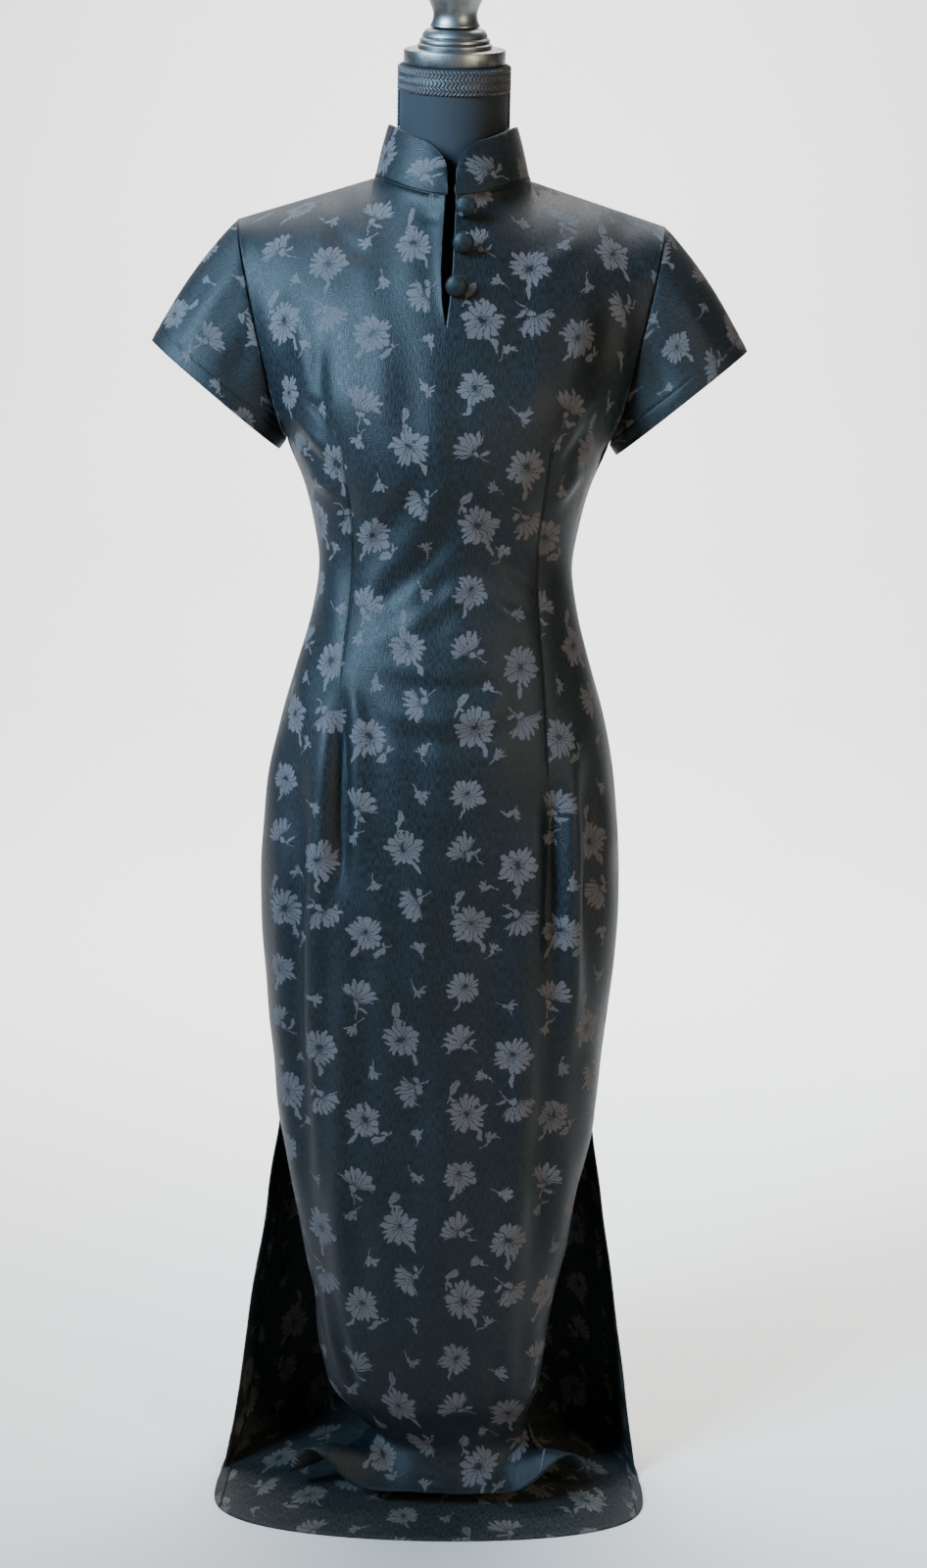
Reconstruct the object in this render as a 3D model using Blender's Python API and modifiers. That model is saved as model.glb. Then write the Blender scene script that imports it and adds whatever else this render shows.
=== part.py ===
"""Long cheongsam dress of satin cloth on a limbless dress form, as closed solids.

Metres, +Z up, the front faces -Y, the wearer's left is at +X. The origin is on the surface that the
cloth lies on, below the form's pole. Every piece of cloth is a wall between an outer grid and the same
grid moved inwards: rows run from the top down, columns run anticlockwise as seen from above.
"""

import math
from collections import namedtuple

import bmesh
import bpy
import numpy as np

OBJECT_NAME = "cheongsam_on_dress_form"

# Driving sizes
CLOTH = 0.002           # wall of the dress
FACING = 0.001          # wall of the strips turned in along the slits
SEAM = 0.0003           # gap between two sewn pieces
NECK_STEPS = 5          # columns of a panel from its centre line to the side of the neck
SHOULDER_STEPS = 6      # columns from there to the shoulder's end
RING = 28               # points round a sleeve, the collar and the form
PANEL_POWER = 0.87      # how square the body's sections are: 1 is an ellipse
HUMP_START = 0.30        # how far from the middle the hem's humps begin, of the half width

UNDERARM_Z = 1.014
UNDERARM_X = 0.1495
SHOULDER_Z = 1.210
SHOULDER_X = 0.195
ARMHOLE_FRONT = 0.045   # how far the armhole reaches forwards
ARMHOLE_BACK = 0.050

NECK_X = 0.071          # collar seam at the side of the neck
NECK_SIDE_Z = 1.248
NECK_FRONT_Y = -0.075
NECK_FRONT_Z = 1.223
NECK_BACK_Y = 0.067
NECK_BACK_Z = 1.260

COLLAR_HEIGHT = 0.045
COLLAR_CORNER = 0.028   # radius of the rounded front corners
COLLAR_GAP = 0.0038     # half of the opening at the front
COLLAR_LEAN = 0.012     # how far the top edge stands inside the seam

SLEEVE_TIP = (0.274, 1.100)     # outer end of the sleeve's hem, as x and z
SLEEVE_FOOT = (0.157, 1.004)    # inner end of the sleeve's hem
SLEEVE_DEPTH = 0.050
SLEEVE_ROWS = 6

BUTTON_R = 0.0095
BUTTON_H = 0.0070
BUTTON_STAND = 0.0022
BUTTON_SPOTS = ((0.0132, 1.2120), (0.0115, 1.1800), (0.0062, 1.1420))

NECK_R = 0.0493
NECK_TOP_Z = 1.348
NECK_SLOPE = 0.32       # the neck's top falls by this much for each metre forwards
BRAID_HEIGHT = 0.021
BRAID_WALL = 0.0024
SIDE_BRAID = (0.0020, 0.0060, 0.0600)
FORM_BOTTOM_Z = 0.560
POLE_R = 0.0125
BASE_R = 0.075
BASE_TOP_Z = 0.020

# A row of the skirt: sway moves it sideways, and hump lifts it on both sides
Section = namedtuple("Section", "height half_width centre_y edge_y power sway hump", defaults=(0.0, 0.0))
Profile = namedtuple("Profile", "height depth")
Ring = namedtuple("Ring", "height half_width front back")

# Centre line of the chest and of the upper back, from the underarm level to the neck
CHEST = (Profile(1.014, 0.128), Profile(1.070, 0.124), Profile(1.120, 0.112), Profile(1.170, 0.096),
         Profile(NECK_FRONT_Z, -NECK_FRONT_Y))
UPPER_BACK = (Profile(1.014, 0.100), Profile(1.080, 0.105), Profile(1.140, 0.104), Profile(1.200, 0.092),
              Profile(NECK_BACK_Z, NECK_BACK_Y))
UPPER_STEPS = (1.0, 0.94, 0.86, 0.76, 0.65, 0.54, 0.43, 0.32, 0.21, 0.10)

# The fitted body: the height, the half width that both panels share, and the depth of each
Body = namedtuple("Body", "height half_width front back")
BODY = (
    Body(1.014, 0.1495, 0.128, 0.100),
    Body(0.970, 0.1320, 0.118, 0.096),
    Body(0.935, 0.1235, 0.102, 0.090),
    Body(0.900, 0.1185, 0.093, 0.088),
    Body(0.860, 0.1240, 0.095, 0.094),
    Body(0.822, 0.1335, 0.102, 0.104),
    Body(0.767, 0.1505, 0.109, 0.118),
    Body(0.720, 0.1610, 0.112, 0.127),
    Body(0.663, 0.1680, 0.110, 0.131),
    Body(0.615, 0.1715, 0.108, 0.130),
    Body(0.557, 0.1710, 0.104, 0.122),
    Body(0.488, 0.1665, 0.100, 0.112),
    Body(0.429, 0.1605, 0.098, 0.106),
    Body(0.371, 0.1545, 0.098, 0.103),
)

# Below the slits: the front closes in round the pole and turns out over the base
FRONT_SKIRT = (
    Section(0.330, 0.1460, -0.099, -0.010, 0.82),
    Section(0.280, 0.1350, -0.101, -0.018, 0.76),
    Section(0.200, 0.1200, -0.103, -0.026, 0.70),
    Section(0.140, 0.1110, -0.101, -0.028, 0.66),
    Section(0.100, 0.1020, -0.096, -0.026, 0.64, 0.003),
    Section(0.072, 0.0860, -0.088, -0.020, 0.66, 0.010),
    Section(0.050, 0.0770, -0.084, -0.020, 0.70, 0.020),
    Section(0.036, 0.0900, -0.088, -0.034, 0.70, 0.018, 0.010),
    Section(0.026, 0.1200, -0.096, -0.052, 0.72, 0.014, 0.028),
    Section(0.0195, 0.1480, -0.104, -0.066, 0.74, 0.010, 0.036),
)
BACK_SKIRT = (
    Section(0.280, 0.1660, 0.104, -0.003, 0.84),
    Section(0.200, 0.1770, 0.106, -0.008, 0.80),
    Section(0.120, 0.1880, 0.107, -0.015, 0.76),
    Section(0.060, 0.1960, 0.106, -0.021, 0.72),
    Section(0.025, 0.2020, 0.102, -0.026, 0.70),
    Section(0.007, 0.2050, 0.094, -0.030, 0.70),
    Section(0.000, 0.2065, 0.083, -0.034, 0.70),
    Section(0.000, 0.2075, -0.010, -0.042, 0.60),
    Section(0.000, 0.2085, -0.085, -0.050, 0.60),
    Section(0.000, 0.2090, -0.155, -0.060, 0.60),
)

# The form inside the dress, from the hips to the root of the neck
FORM = (
    Ring(0.560, 0.1560, 0.092, 0.108),
    Ring(0.615, 0.1600, 0.097, 0.118),
    Ring(0.663, 0.1565, 0.099, 0.118),
    Ring(0.720, 0.1495, 0.101, 0.115),
    Ring(0.767, 0.1390, 0.098, 0.106),
    Ring(0.822, 0.1220, 0.091, 0.092),
    Ring(0.860, 0.1125, 0.083, 0.082),
    Ring(0.900, 0.1070, 0.080, 0.076),
    Ring(0.935, 0.1120, 0.088, 0.078),
    Ring(0.970, 0.1205, 0.104, 0.084),
    Ring(1.014, 0.1370, 0.113, 0.088),
    Ring(1.060, 0.1450, 0.110, 0.092),
    Ring(1.110, 0.1530, 0.098, 0.092),
    Ring(1.150, 0.1570, 0.083, 0.084),
    Ring(1.180, 0.1520, 0.066, 0.072),
    Ring(1.200, 0.1320, 0.052, 0.060),
    Ring(1.215, 0.1030, 0.048, 0.054),
    Ring(1.228, 0.0740, 0.049, 0.052),
    Ring(1.241, 0.0560, 0.0495, 0.051),
    Ring(1.258, NECK_R, NECK_R, NECK_R),
)

# Turned pieces: radius and height of each corner, from the top down
CAP_PROFILE = ((0.0000, 0.0300), (0.0240, 0.0300), (0.0290, 0.0262), (0.0300, 0.0225), (0.0318, 0.0215),
               (0.0318, 0.0180), (0.0335, 0.0170), (0.0335, 0.0130), (0.0445, 0.0130), (0.0460, 0.0115),
               (0.0460, 0.0015), (0.0450, 0.0000), (0.0000, 0.0000))
FINIAL_PROFILE = ((0.0000, 0.1060), (0.0110, 0.1045), (0.0210, 0.0995), (0.0280, 0.0905), (0.0312, 0.0790),
                  (0.0300, 0.0680), (0.0255, 0.0565), (0.0212, 0.0475), (0.0198, 0.0415), (0.0210, 0.0355),
                  (0.0235, 0.0303), (0.0000, 0.0303))
BASE_PROFILE = ((0.0000, 0.0300), (0.0180, 0.0300), (0.0200, 0.0280), (0.0210, 0.0215), (0.0300, BASE_TOP_Z),
                (0.0700, 0.0165), (0.0745, 0.0135), (BASE_R, 0.0110), (BASE_R, 0.0040), (0.0740, 0.0026),
                (0.0000, 0.0026))

# The neck slit's outline as x and z, down its left edge and up its right one
SLIT_OUTLINE = ((-0.0050, 1.300), (-0.0050, 1.215), (-0.0070, 1.190), (-0.0078, 1.165), (-0.0066, 1.135),
                (-0.0022, 1.108), (0.0006, 1.128), (0.0026, 1.155), (0.0038, 1.190), (0.0045, 1.215),
                (0.0045, 1.300))
SLIT_REACH = (-0.200, -0.040)

Look = namedtuple("Look", "color roughness metallic")
LOOKS = {
    "satin": Look((0.020, 0.030, 0.038, 1.0), 0.42, 0.0),
    "satin_wrong_side": Look((0.014, 0.018, 0.022, 1.0), 0.60, 0.0),
    "jersey": Look((0.016, 0.017, 0.019, 1.0), 0.85, 0.0),
    "braid": Look((0.010, 0.010, 0.011, 1.0), 0.60, 0.0),
    "pewter": Look((0.290, 0.300, 0.310, 1.0), 0.35, 1.0),
    "pole_steel": Look((0.520, 0.520, 0.530, 1.0), 0.28, 1.0),
    "black_paint": Look((0.018, 0.018, 0.019, 1.0), 0.45, 0.0),
}


def clear_scene():
    """Remove every object of the open file."""
    for item in list(bpy.data.objects):
        bpy.data.objects.remove(item, do_unlink=True)


def new_collection(name):
    """Add a collection to the scene."""
    collection = bpy.data.collections.new(name)
    bpy.context.scene.collection.children.link(collection)
    return collection


def make_materials():
    """One Principled material for each look."""
    materials = {}
    for name, look in LOOKS.items():
        material = bpy.data.materials.new(name)
        material.use_nodes = True
        shader = material.node_tree.nodes["Principled BSDF"]
        shader.inputs["Base Color"].default_value = look.color
        shader.inputs["Roughness"].default_value = look.roughness
        shader.inputs["Metallic"].default_value = look.metallic
        materials[name] = material
    return materials


def add_mesh(name, vertices, faces, collection, material):
    """Put a closed mesh into the collection, with its faces turned outwards and shaded smooth."""
    mesh = bpy.data.meshes.new(name)
    mesh.from_pydata([tuple(point) for point in vertices], [], faces)
    work = bmesh.new()
    work.from_mesh(mesh)
    bmesh.ops.recalc_face_normals(work, faces=work.faces)
    work.to_mesh(mesh)
    work.free()
    mesh.shade_smooth()
    mesh.set_sharp_from_angle(angle=math.radians(40))
    mesh.materials.append(material)
    item = bpy.data.objects.new(name, mesh)
    collection.objects.link(item)
    return item


def unit(vectors):
    """Vectors of length one."""
    return vectors / np.linalg.norm(vectors, axis=-1, keepdims=True)


def grid_normals(grid, closed=False):
    """Outward normals of a grid whose rows run down and whose columns run anticlockwise from above."""
    if closed:
        across = np.roll(grid, -1, axis=1) - np.roll(grid, 1, axis=1)
    else:
        across = np.gradient(grid, axis=1)
    return unit(np.cross(np.gradient(grid, axis=0), across))


def grid_faces(rows, columns, closed):
    """Quads of a grid, as index rows, with the last column joined to the first where it is closed."""
    row = np.arange(rows - 1)[:, None]
    column = np.arange(columns if closed else columns - 1)[None, :]
    following = (column + 1) % columns
    corners = (row * columns + column, row * columns + following,
               (row + 1) * columns + following, (row + 1) * columns + column)
    return np.stack(np.broadcast_arrays(*corners), axis=-1).reshape(-1, 4)


def rim_faces(loop, total, closed):
    """Quads that join a run of outer vertices to the inner ones, total places further on."""
    following = np.roll(loop, -1)
    quads = np.stack([loop, loop + total, following + total, following], axis=-1)
    return quads if closed else quads[:-1]


def wall(name, outer, inner, collection, material, closed=False):
    """A closed wall between an outer grid and an inner one, with rims along its free edges."""
    rows, columns = outer.shape[:2]
    total = rows * columns
    index = np.arange(total).reshape(rows, columns)
    quads = [grid_faces(rows, columns, closed), grid_faces(rows, columns, closed)[:, ::-1] + total]
    if closed:
        quads.append(rim_faces(index[0], total, True))
        quads.append(rim_faces(index[-1], total, True)[:, ::-1])
    else:
        border = np.concatenate([index[0], index[1:, -1], index[-1, -2::-1], index[-2:0:-1, 0]])
        quads.append(rim_faces(border, total, True))
    vertices = np.concatenate([outer.reshape(-1, 3), inner.reshape(-1, 3)])
    return add_mesh(name, vertices, np.concatenate(quads).tolist(), collection, material)


def armhole(angle):
    """Armhole line at +X: the angle runs from 0 at the shoulder over the front to pi under the arm."""
    rise = (1 + np.cos(angle)) / 2
    height = UNDERARM_Z + (SHOULDER_Z - UNDERARM_Z) * rise
    out = UNDERARM_X + (SHOULDER_X - UNDERARM_X) * rise ** 0.85
    reach = np.where(np.sin(angle) >= 0, ARMHOLE_FRONT, ARMHOLE_BACK)
    return np.stack([out, -reach * np.sin(angle), height], axis=-1)


def armhole_inwards(angle):
    """Direction of the cloth's thickness along the armhole seam, the same for panel and sleeve."""
    low = ((1 - np.cos(angle)) / 2) ** 2
    parts = [-(0.25 + 0.75 * low), np.sin(angle), -np.clip(np.cos(angle), 0, 1)]
    return unit(np.stack(parts, axis=-1))


def section_row(section, across):
    """A row of a panel: sine across, and a power of the cosine for its depth."""
    turn = across * math.pi / 2
    x = section.half_width * np.sin(turn) + section.sway
    y = section.edge_y + (section.centre_y - section.edge_y) * np.abs(np.cos(turn)) ** section.power
    beside = np.clip((np.abs(across) - HUMP_START) / (1 - HUMP_START), 0, 1)
    z = section.height + section.hump * np.sin(math.pi * beside) ** 2
    return np.stack([x, y, z], axis=-1)


def neck_and_shoulder_row(across, neck_y, neck_z, side_y):
    """The top edge of a panel: a quarter of an ellipse round the neck, then the straight shoulder."""
    neck_share = NECK_X / SHOULDER_X
    reach = np.abs(across)
    turn = np.clip(reach / neck_share, 0, 1) * math.pi / 2
    along = np.clip((reach - neck_share) / (1 - neck_share), 0, 1)
    x = NECK_X * np.sin(turn) + (SHOULDER_X - NECK_X) * along
    y = side_y + (neck_y - side_y) * np.cos(turn)
    z = NECK_SIDE_Z + (neck_z - NECK_SIDE_Z) * np.cos(turn) ** 2 + (SHOULDER_Z - NECK_SIDE_Z) * along
    return np.stack([np.sign(across) * x, y, z], axis=-1)


def upper_row(step, across, centre, facing):
    """A row above the underarm: step 0 is at the underarm and 1 at the shoulder and neck."""
    edge = armhole(np.array(facing * math.pi * (1 - step)))
    neck_z = centre[-1].height
    height = UNDERARM_Z + (neck_z - UNDERARM_Z) * (1 - math.cos(math.pi * step)) / 2
    depth = np.interp(height, [point.height for point in centre], [point.depth for point in centre])
    turn = across * math.pi / 2
    arch = np.cos(turn) ** (PANEL_POWER + (1 - PANEL_POWER) * step)
    straight = step ** 0.7
    x = edge[0] * ((1 - straight) * np.sin(turn) + straight * across)
    y = edge[1] + (-facing * depth - edge[1]) * arch
    z = edge[2] + (height - edge[2]) * np.cos(turn) ** 2
    return np.stack([x, y, z], axis=-1)


def upper_rows(across, centre, facing, neck_y, neck_z):
    """All rows above the underarm: each upper row, eased towards the shoulder and the neckline."""
    side_y = -facing * SEAM / 2
    top = neck_and_shoulder_row(across, neck_y, neck_z, side_y)
    change = top - upper_row(1.0, across, centre, facing)
    rows = []
    for step in UPPER_STEPS:
        rows.append(upper_row(step, across, centre, facing) + step ** 4 * change)
    return rows


def panel_columns():
    """Places across a panel, from -1 to 1, with one at each side of the neck."""
    neck = np.linspace(0, NECK_X / SHOULDER_X, NECK_STEPS + 1)
    shoulder = np.linspace(neck[-1], 1, SHOULDER_STEPS + 1)[1:]
    half = np.concatenate([neck, shoulder])
    return np.concatenate([-half[:0:-1], half])


def panel_grid(facing):
    """Outer grid of the front (facing 1) or of the back (facing -1), from the neck to the hem."""
    across = panel_columns() * facing
    if facing > 0:
        rows = upper_rows(across, CHEST, 1, NECK_FRONT_Y, NECK_FRONT_Z)
    else:
        rows = upper_rows(across, UPPER_BACK, -1, NECK_BACK_Y, NECK_BACK_Z)
    for body in BODY:
        depth = -body.front if facing > 0 else body.back
        rows.append(section_row(Section(body.height, body.half_width, depth, -facing * SEAM / 2,
                                        PANEL_POWER), across))
    for section in FRONT_SKIRT if facing > 0 else BACK_SKIRT:
        rows.append(section_row(section, across))
    return np.array(rows)


def panel_inwards(grid, facing):
    """Direction of a panel's thickness: its normals, turned into the seam planes along its seams."""
    inwards = -grid_normals(grid)
    shoulder = len(UPPER_STEPS)
    slit_top = shoulder + len(BODY)
    side = np.sign(grid[:, :, 0])
    angles = facing * math.pi * (1 - np.array(UPPER_STEPS))
    for column in (0, -1):
        along = armhole_inwards(angles)
        along[:, 0] *= side[:shoulder, column]
        inwards[:shoulder, column] = along
        inwards[shoulder:slit_top, column] = np.stack(
            [-side[shoulder:slit_top, column], np.zeros(len(BODY)), np.zeros(len(BODY))], axis=-1)
    top = grid[0]
    on_neck = np.abs(top[:, 0]) < NECK_X * 0.999
    neck = unit(np.stack([-top[:, 0], -top[:, 1], np.full(len(top), -0.03)], axis=-1))
    inwards[0, on_neck] = neck[on_neck]
    on_shoulder = ~on_neck
    on_shoulder[[0, -1]] = False
    inwards[0, on_shoulder] = (0.0, 0.0, -1.0)
    return inwards


def build_panels(collection, materials):
    """The front and the back, each one piece of cloth from the neck to the hem."""
    grids = {}
    for name, facing in (("front_panel", 1), ("back_panel", -1)):
        outer = panel_grid(facing)
        inner = outer + CLOTH * panel_inwards(outer, facing)
        item = wall(name, outer, inner, collection, materials["satin"])
        grids[name] = (outer, inner, item)
    return grids


def cut_neck_slit(front, cutters):
    """Cut the slit that runs down from the neck, as a slanting prism through the front wall."""
    near, far = SLIT_REACH
    count = len(SLIT_OUTLINE)
    vertices = [(x, near, z) for x, z in SLIT_OUTLINE] + [(x, far, z) for x, z in SLIT_OUTLINE]
    faces = [list(range(count)), list(range(2 * count - 1, count - 1, -1))]
    for corner in range(count):
        following = (corner + 1) % count
        faces.append([corner, following, following + count, corner + count])
    mesh = bpy.data.meshes.new("neck_slit_cutter")
    mesh.from_pydata(vertices, [], faces)
    work = bmesh.new()
    work.from_mesh(mesh)
    bmesh.ops.recalc_face_normals(work, faces=work.faces)
    work.to_mesh(mesh)
    work.free()
    cutter = bpy.data.objects.new("neck_slit_cutter", mesh)
    cutter.display_type = "WIRE"
    cutter.hide_render = True
    cutters.objects.link(cutter)
    cut = front.modifiers.new("neck_slit", "BOOLEAN")
    cut.operation = "DIFFERENCE"
    cut.solver = "EXACT"
    cut.object = cutter


def build_slit_facings(back, collection, materials):
    """The strips turned in along the back's slit edges, made from the back's own inner points."""
    outer, inner, _ = back
    first = len(UPPER_STEPS) + len(BODY) - 1
    inwards = unit(inner - outer)
    for name, edge, inside in (("back_slit_facing_left", 0, 1), ("back_slit_facing_right", -1, -2)):
        edge_line = inner[first:, edge]
        inside_line = inner[first:, inside]
        shares = (0.04, 0.50, 0.92) if edge == 0 else (0.92, 0.50, 0.04)
        lines = [edge_line + (inside_line - edge_line) * share for share in shares]
        lift = unit(inwards[first:, edge] * 0.3 + inwards[first:, inside])[:, None, :]
        near = np.stack(lines, axis=1) + lift * 2 * SEAM
        wall(name, near, near + lift * FACING, collection, materials["satin_wrong_side"])


def build_sleeves(collection, materials):
    """The two set-in sleeves: rings eased from the armhole line to the slanting hem."""
    half_turn = math.pi * (1 - np.array(UPPER_STEPS))
    angle = np.concatenate([-half_turn, [-math.pi], half_turn[:0:-1]])
    start = armhole(angle)
    inwards = armhole_inwards(angle)
    along = np.roll(start, -1, axis=0) - np.roll(start, 1, axis=0)
    outwards = unit(np.cross(inwards, along))
    start = start + outwards * SEAM * 1.3
    middle = np.array([(SLEEVE_TIP[0] + SLEEVE_FOOT[0]) / 2, 0.0, (SLEEVE_TIP[1] + SLEEVE_FOOT[1]) / 2])
    half = np.array([(SLEEVE_TIP[0] - SLEEVE_FOOT[0]) / 2, 0.0, (SLEEVE_TIP[1] - SLEEVE_FOOT[1]) / 2])
    end = middle + np.cos(angle)[:, None] * half
    end[:, 1] = -SLEEVE_DEPTH * np.sin(angle)
    share = np.linspace(0, 1, SLEEVE_ROWS)[:, None, None]
    outer = start[None] * (1 - share) + end[None] * share
    swell = np.sin(math.pi * share[:, :, 0])
    outer[:, :, 0] += 0.004 * swell * np.clip(np.cos(angle), 0, 1)
    outer[:, :, 2] += 0.003 * swell * np.clip(np.cos(angle), 0, 1)
    direction = -grid_normals(outer, closed=True)
    direction[0] = inwards
    inner = outer + CLOTH * direction
    for name, side in (("sleeve_left", 1), ("sleeve_right", -1)):
        mirror = np.array([side, 1.0, 1.0])
        wall(name, outer * mirror, inner * mirror, collection, materials["satin"], closed=True)


def collar_rows():
    """Collar lines from the top edge to the neck seam, from the front opening round the back."""
    gap_turn = math.asin(COLLAR_GAP / NECK_X)
    corner_turns = np.arange(4 * NECK_STEPS + 1) * math.pi / (2 * NECK_STEPS)
    front = np.cos(corner_turns) > 0
    depth = np.where(front, -NECK_FRONT_Y, NECK_BACK_Y)
    rise = np.where(front, NECK_FRONT_Z, NECK_BACK_Z) - NECK_SIDE_Z
    corners = np.stack([NECK_X * np.sin(corner_turns), -depth * np.cos(corner_turns),
                        NECK_SIDE_Z + rise * np.cos(corner_turns) ** 2 + 2 * SEAM], axis=-1)
    ends = gap_turn + (corner_turns[2] - gap_turn) * np.linspace(0, 1, 10) ** 1.6
    turn = np.concatenate([ends, corner_turns[3:-3], 2 * math.pi - ends[::-1]])
    seam = np.stack([np.interp(turn, corner_turns, corners[:, axis]) for axis in range(3)], axis=-1)
    steps = np.linalg.norm(np.diff(seam, axis=0), axis=1)
    along = np.concatenate([[0], np.cumsum(steps)])
    to_end = np.minimum(along, along[-1] - along)
    short = np.clip(COLLAR_CORNER - to_end, 0, COLLAR_CORNER)
    height = COLLAR_HEIGHT - COLLAR_CORNER + np.sqrt(COLLAR_CORNER ** 2 - short ** 2)
    inwards = unit(seam * np.array([-1.0, -1.0, 0.0]))
    rows = []
    for share in (1.0, 0.66, 0.33, 0.0):
        lean = COLLAR_LEAN * (share * height / COLLAR_HEIGHT) ** 0.8
        row = seam + inwards * lean[:, None]
        row[:, 2] += share * height
        rows.append(row)
    return np.array(rows), inwards


def build_collar(collection, materials):
    """The stand collar, one band open at the front, with round corners."""
    outer, inwards = collar_rows()
    inner = outer + CLOTH * inwards[None]
    wall("collar", outer, inner, collection, materials["satin"])


def turned(name, profile, collection, material, steps=24):
    """A turned piece: a profile from the top down at +X, carried round its axis."""
    mesh = bpy.data.meshes.new(name)
    points = [(radius, 0.0, height) for radius, height in profile]
    mesh.from_pydata(points, [(index, index + 1) for index in range(len(points) - 1)], [])
    mesh.materials.append(material)
    item = bpy.data.objects.new(name, mesh)
    collection.objects.link(item)
    screw = item.modifiers.new("turn", "SCREW")
    screw.steps = steps
    screw.render_steps = steps
    screw.use_merge_vertices = True
    screw.merge_threshold = 0.00001
    screw.use_smooth_shade = True
    return item


def build_buttons(front, collection, materials):
    """Three covered half-ball buttons beside the neck slit, each on a short shank."""
    middle = front[0][:, NECK_STEPS + SHOULDER_STEPS]
    turn = np.linspace(math.pi / 2, 0, 5)
    dome = [(BUTTON_R * math.cos(angle), 0.0014 + (BUTTON_H - 0.0014) * math.sin(angle)) for angle in turn]
    profile = dome + [(BUTTON_R - 0.0008, 0.0), (0.0022, 0.0), (0.0022, -0.0014), (0.0, -0.0014)]
    profile[0] = (0.0, BUTTON_H)
    rising = middle[::-1]
    for number, (x, z) in enumerate(BUTTON_SPOTS, start=1):
        y = np.interp(z, rising[:, 2], rising[:, 1])
        lower = np.interp(z - BUTTON_R, rising[:, 2], rising[:, 1])
        lean = math.atan2(y - lower, BUTTON_R) / 2
        item = turned(f"button_{number}", profile, collection, materials["satin"], steps=16)
        item.location = (x, y - BUTTON_STAND, z)
        item.rotation_euler = (math.pi / 2 - lean, 0.0, 0.0)


def build_form_body(collection, materials):
    """The jersey-covered form: superellipse rings from the hips to the slanting top of the neck."""
    angle = np.linspace(0, 2 * math.pi, RING, endpoint=False)
    rings = []
    for ring in FORM:
        depth = np.where(np.sin(angle) < 0, ring.front, ring.back)
        rings.append(np.stack([ring.half_width * np.cos(angle), depth * np.sin(angle),
                               np.full(RING, ring.height)], axis=-1))
    top = np.stack([NECK_R * np.cos(angle), NECK_R * np.sin(angle),
                    NECK_TOP_Z + NECK_SLOPE * NECK_R * np.sin(angle)], axis=-1)
    rings.append(top)
    grid = np.array(rings)[::-1]
    rows = len(grid)
    faces = grid_faces(rows, RING, True).tolist()
    faces.append(list(range(RING)))
    faces.append(list(range((rows - 1) * RING, rows * RING))[::-1])
    add_mesh("form_torso", grid.reshape(-1, 3), faces, collection, materials["jersey"])
    return angle


def build_braids(angle, collection, materials):
    """The gimp braid round the top of the neck, and one down each side of it."""
    rows = []
    for drop in (0.0010, BRAID_HEIGHT):
        radius = NECK_R + SEAM + BRAID_WALL
        rows.append(np.stack([radius * np.cos(angle), radius * np.sin(angle),
                              NECK_TOP_Z - drop + NECK_SLOPE * radius * np.sin(angle)], axis=-1))
    outer = np.array(rows)
    inner = outer * np.array([(NECK_R + SEAM) / radius, (NECK_R + SEAM) / radius, 1.0])
    wall("form_neck_braid", outer, inner, collection, materials["braid"], closed=True)
    wide, deep, tall = SIDE_BRAID
    top = NECK_TOP_Z - BRAID_HEIGHT - 0.0020
    for name, side in (("form_side_braid_left", 1), ("form_side_braid_right", -1)):
        mesh = bpy.data.meshes.new(name)
        work = bmesh.new()
        bmesh.ops.create_cube(work, size=1.0)
        bmesh.ops.scale(work, vec=(wide, deep, tall), verts=work.verts)
        work.to_mesh(mesh)
        work.free()
        mesh.materials.append(materials["braid"])
        item = bpy.data.objects.new(name, mesh)
        item.location = (side * (NECK_R + SEAM + wide / 2), 0.0, top - tall / 2)
        collection.objects.link(item)


def build_form_metal(collection, materials):
    """The cap and finial on the slanting neck, the pole and the round base."""
    tilt = math.atan(NECK_SLOPE)
    for name, profile in (("form_cap", CAP_PROFILE), ("form_finial", FINIAL_PROFILE)):
        item = turned(name, profile, collection, materials["pewter"])
        item.location = (0.0, -SEAM * math.sin(tilt), NECK_TOP_Z + SEAM * math.cos(tilt))
        item.rotation_euler = (tilt, 0.0, 0.0)
    turned("form_base", BASE_PROFILE, collection, materials["black_paint"])
    bottom = BASE_PROFILE[0][1] + SEAM
    top = FORM_BOTTOM_Z - SEAM
    mesh = bpy.data.meshes.new("form_pole")
    work = bmesh.new()
    bmesh.ops.create_cone(work, cap_ends=True, segments=24, radius1=POLE_R, radius2=POLE_R,
                          depth=top - bottom)
    work.to_mesh(mesh)
    work.free()
    mesh.shade_smooth()
    mesh.set_sharp_from_angle(angle=math.radians(40))
    mesh.materials.append(materials["pole_steel"])
    pole = bpy.data.objects.new("form_pole", mesh)
    pole.location = (0.0, 0.0, (top + bottom) / 2)
    collection.objects.link(pole)


def main():
    """Build the dress, then the form that carries it."""
    clear_scene()
    collection = new_collection(OBJECT_NAME)
    cutters = new_collection("cutters")
    materials = make_materials()
    grids = build_panels(collection, materials)
    cut_neck_slit(grids["front_panel"][2], cutters)
    build_slit_facings(grids["back_panel"], collection, materials)
    build_sleeves(collection, materials)
    build_collar(collection, materials)
    build_buttons(grids["front_panel"], collection, materials)
    angle = build_form_body(collection, materials)
    build_braids(angle, collection, materials)
    build_form_metal(collection, materials)


main()
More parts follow.
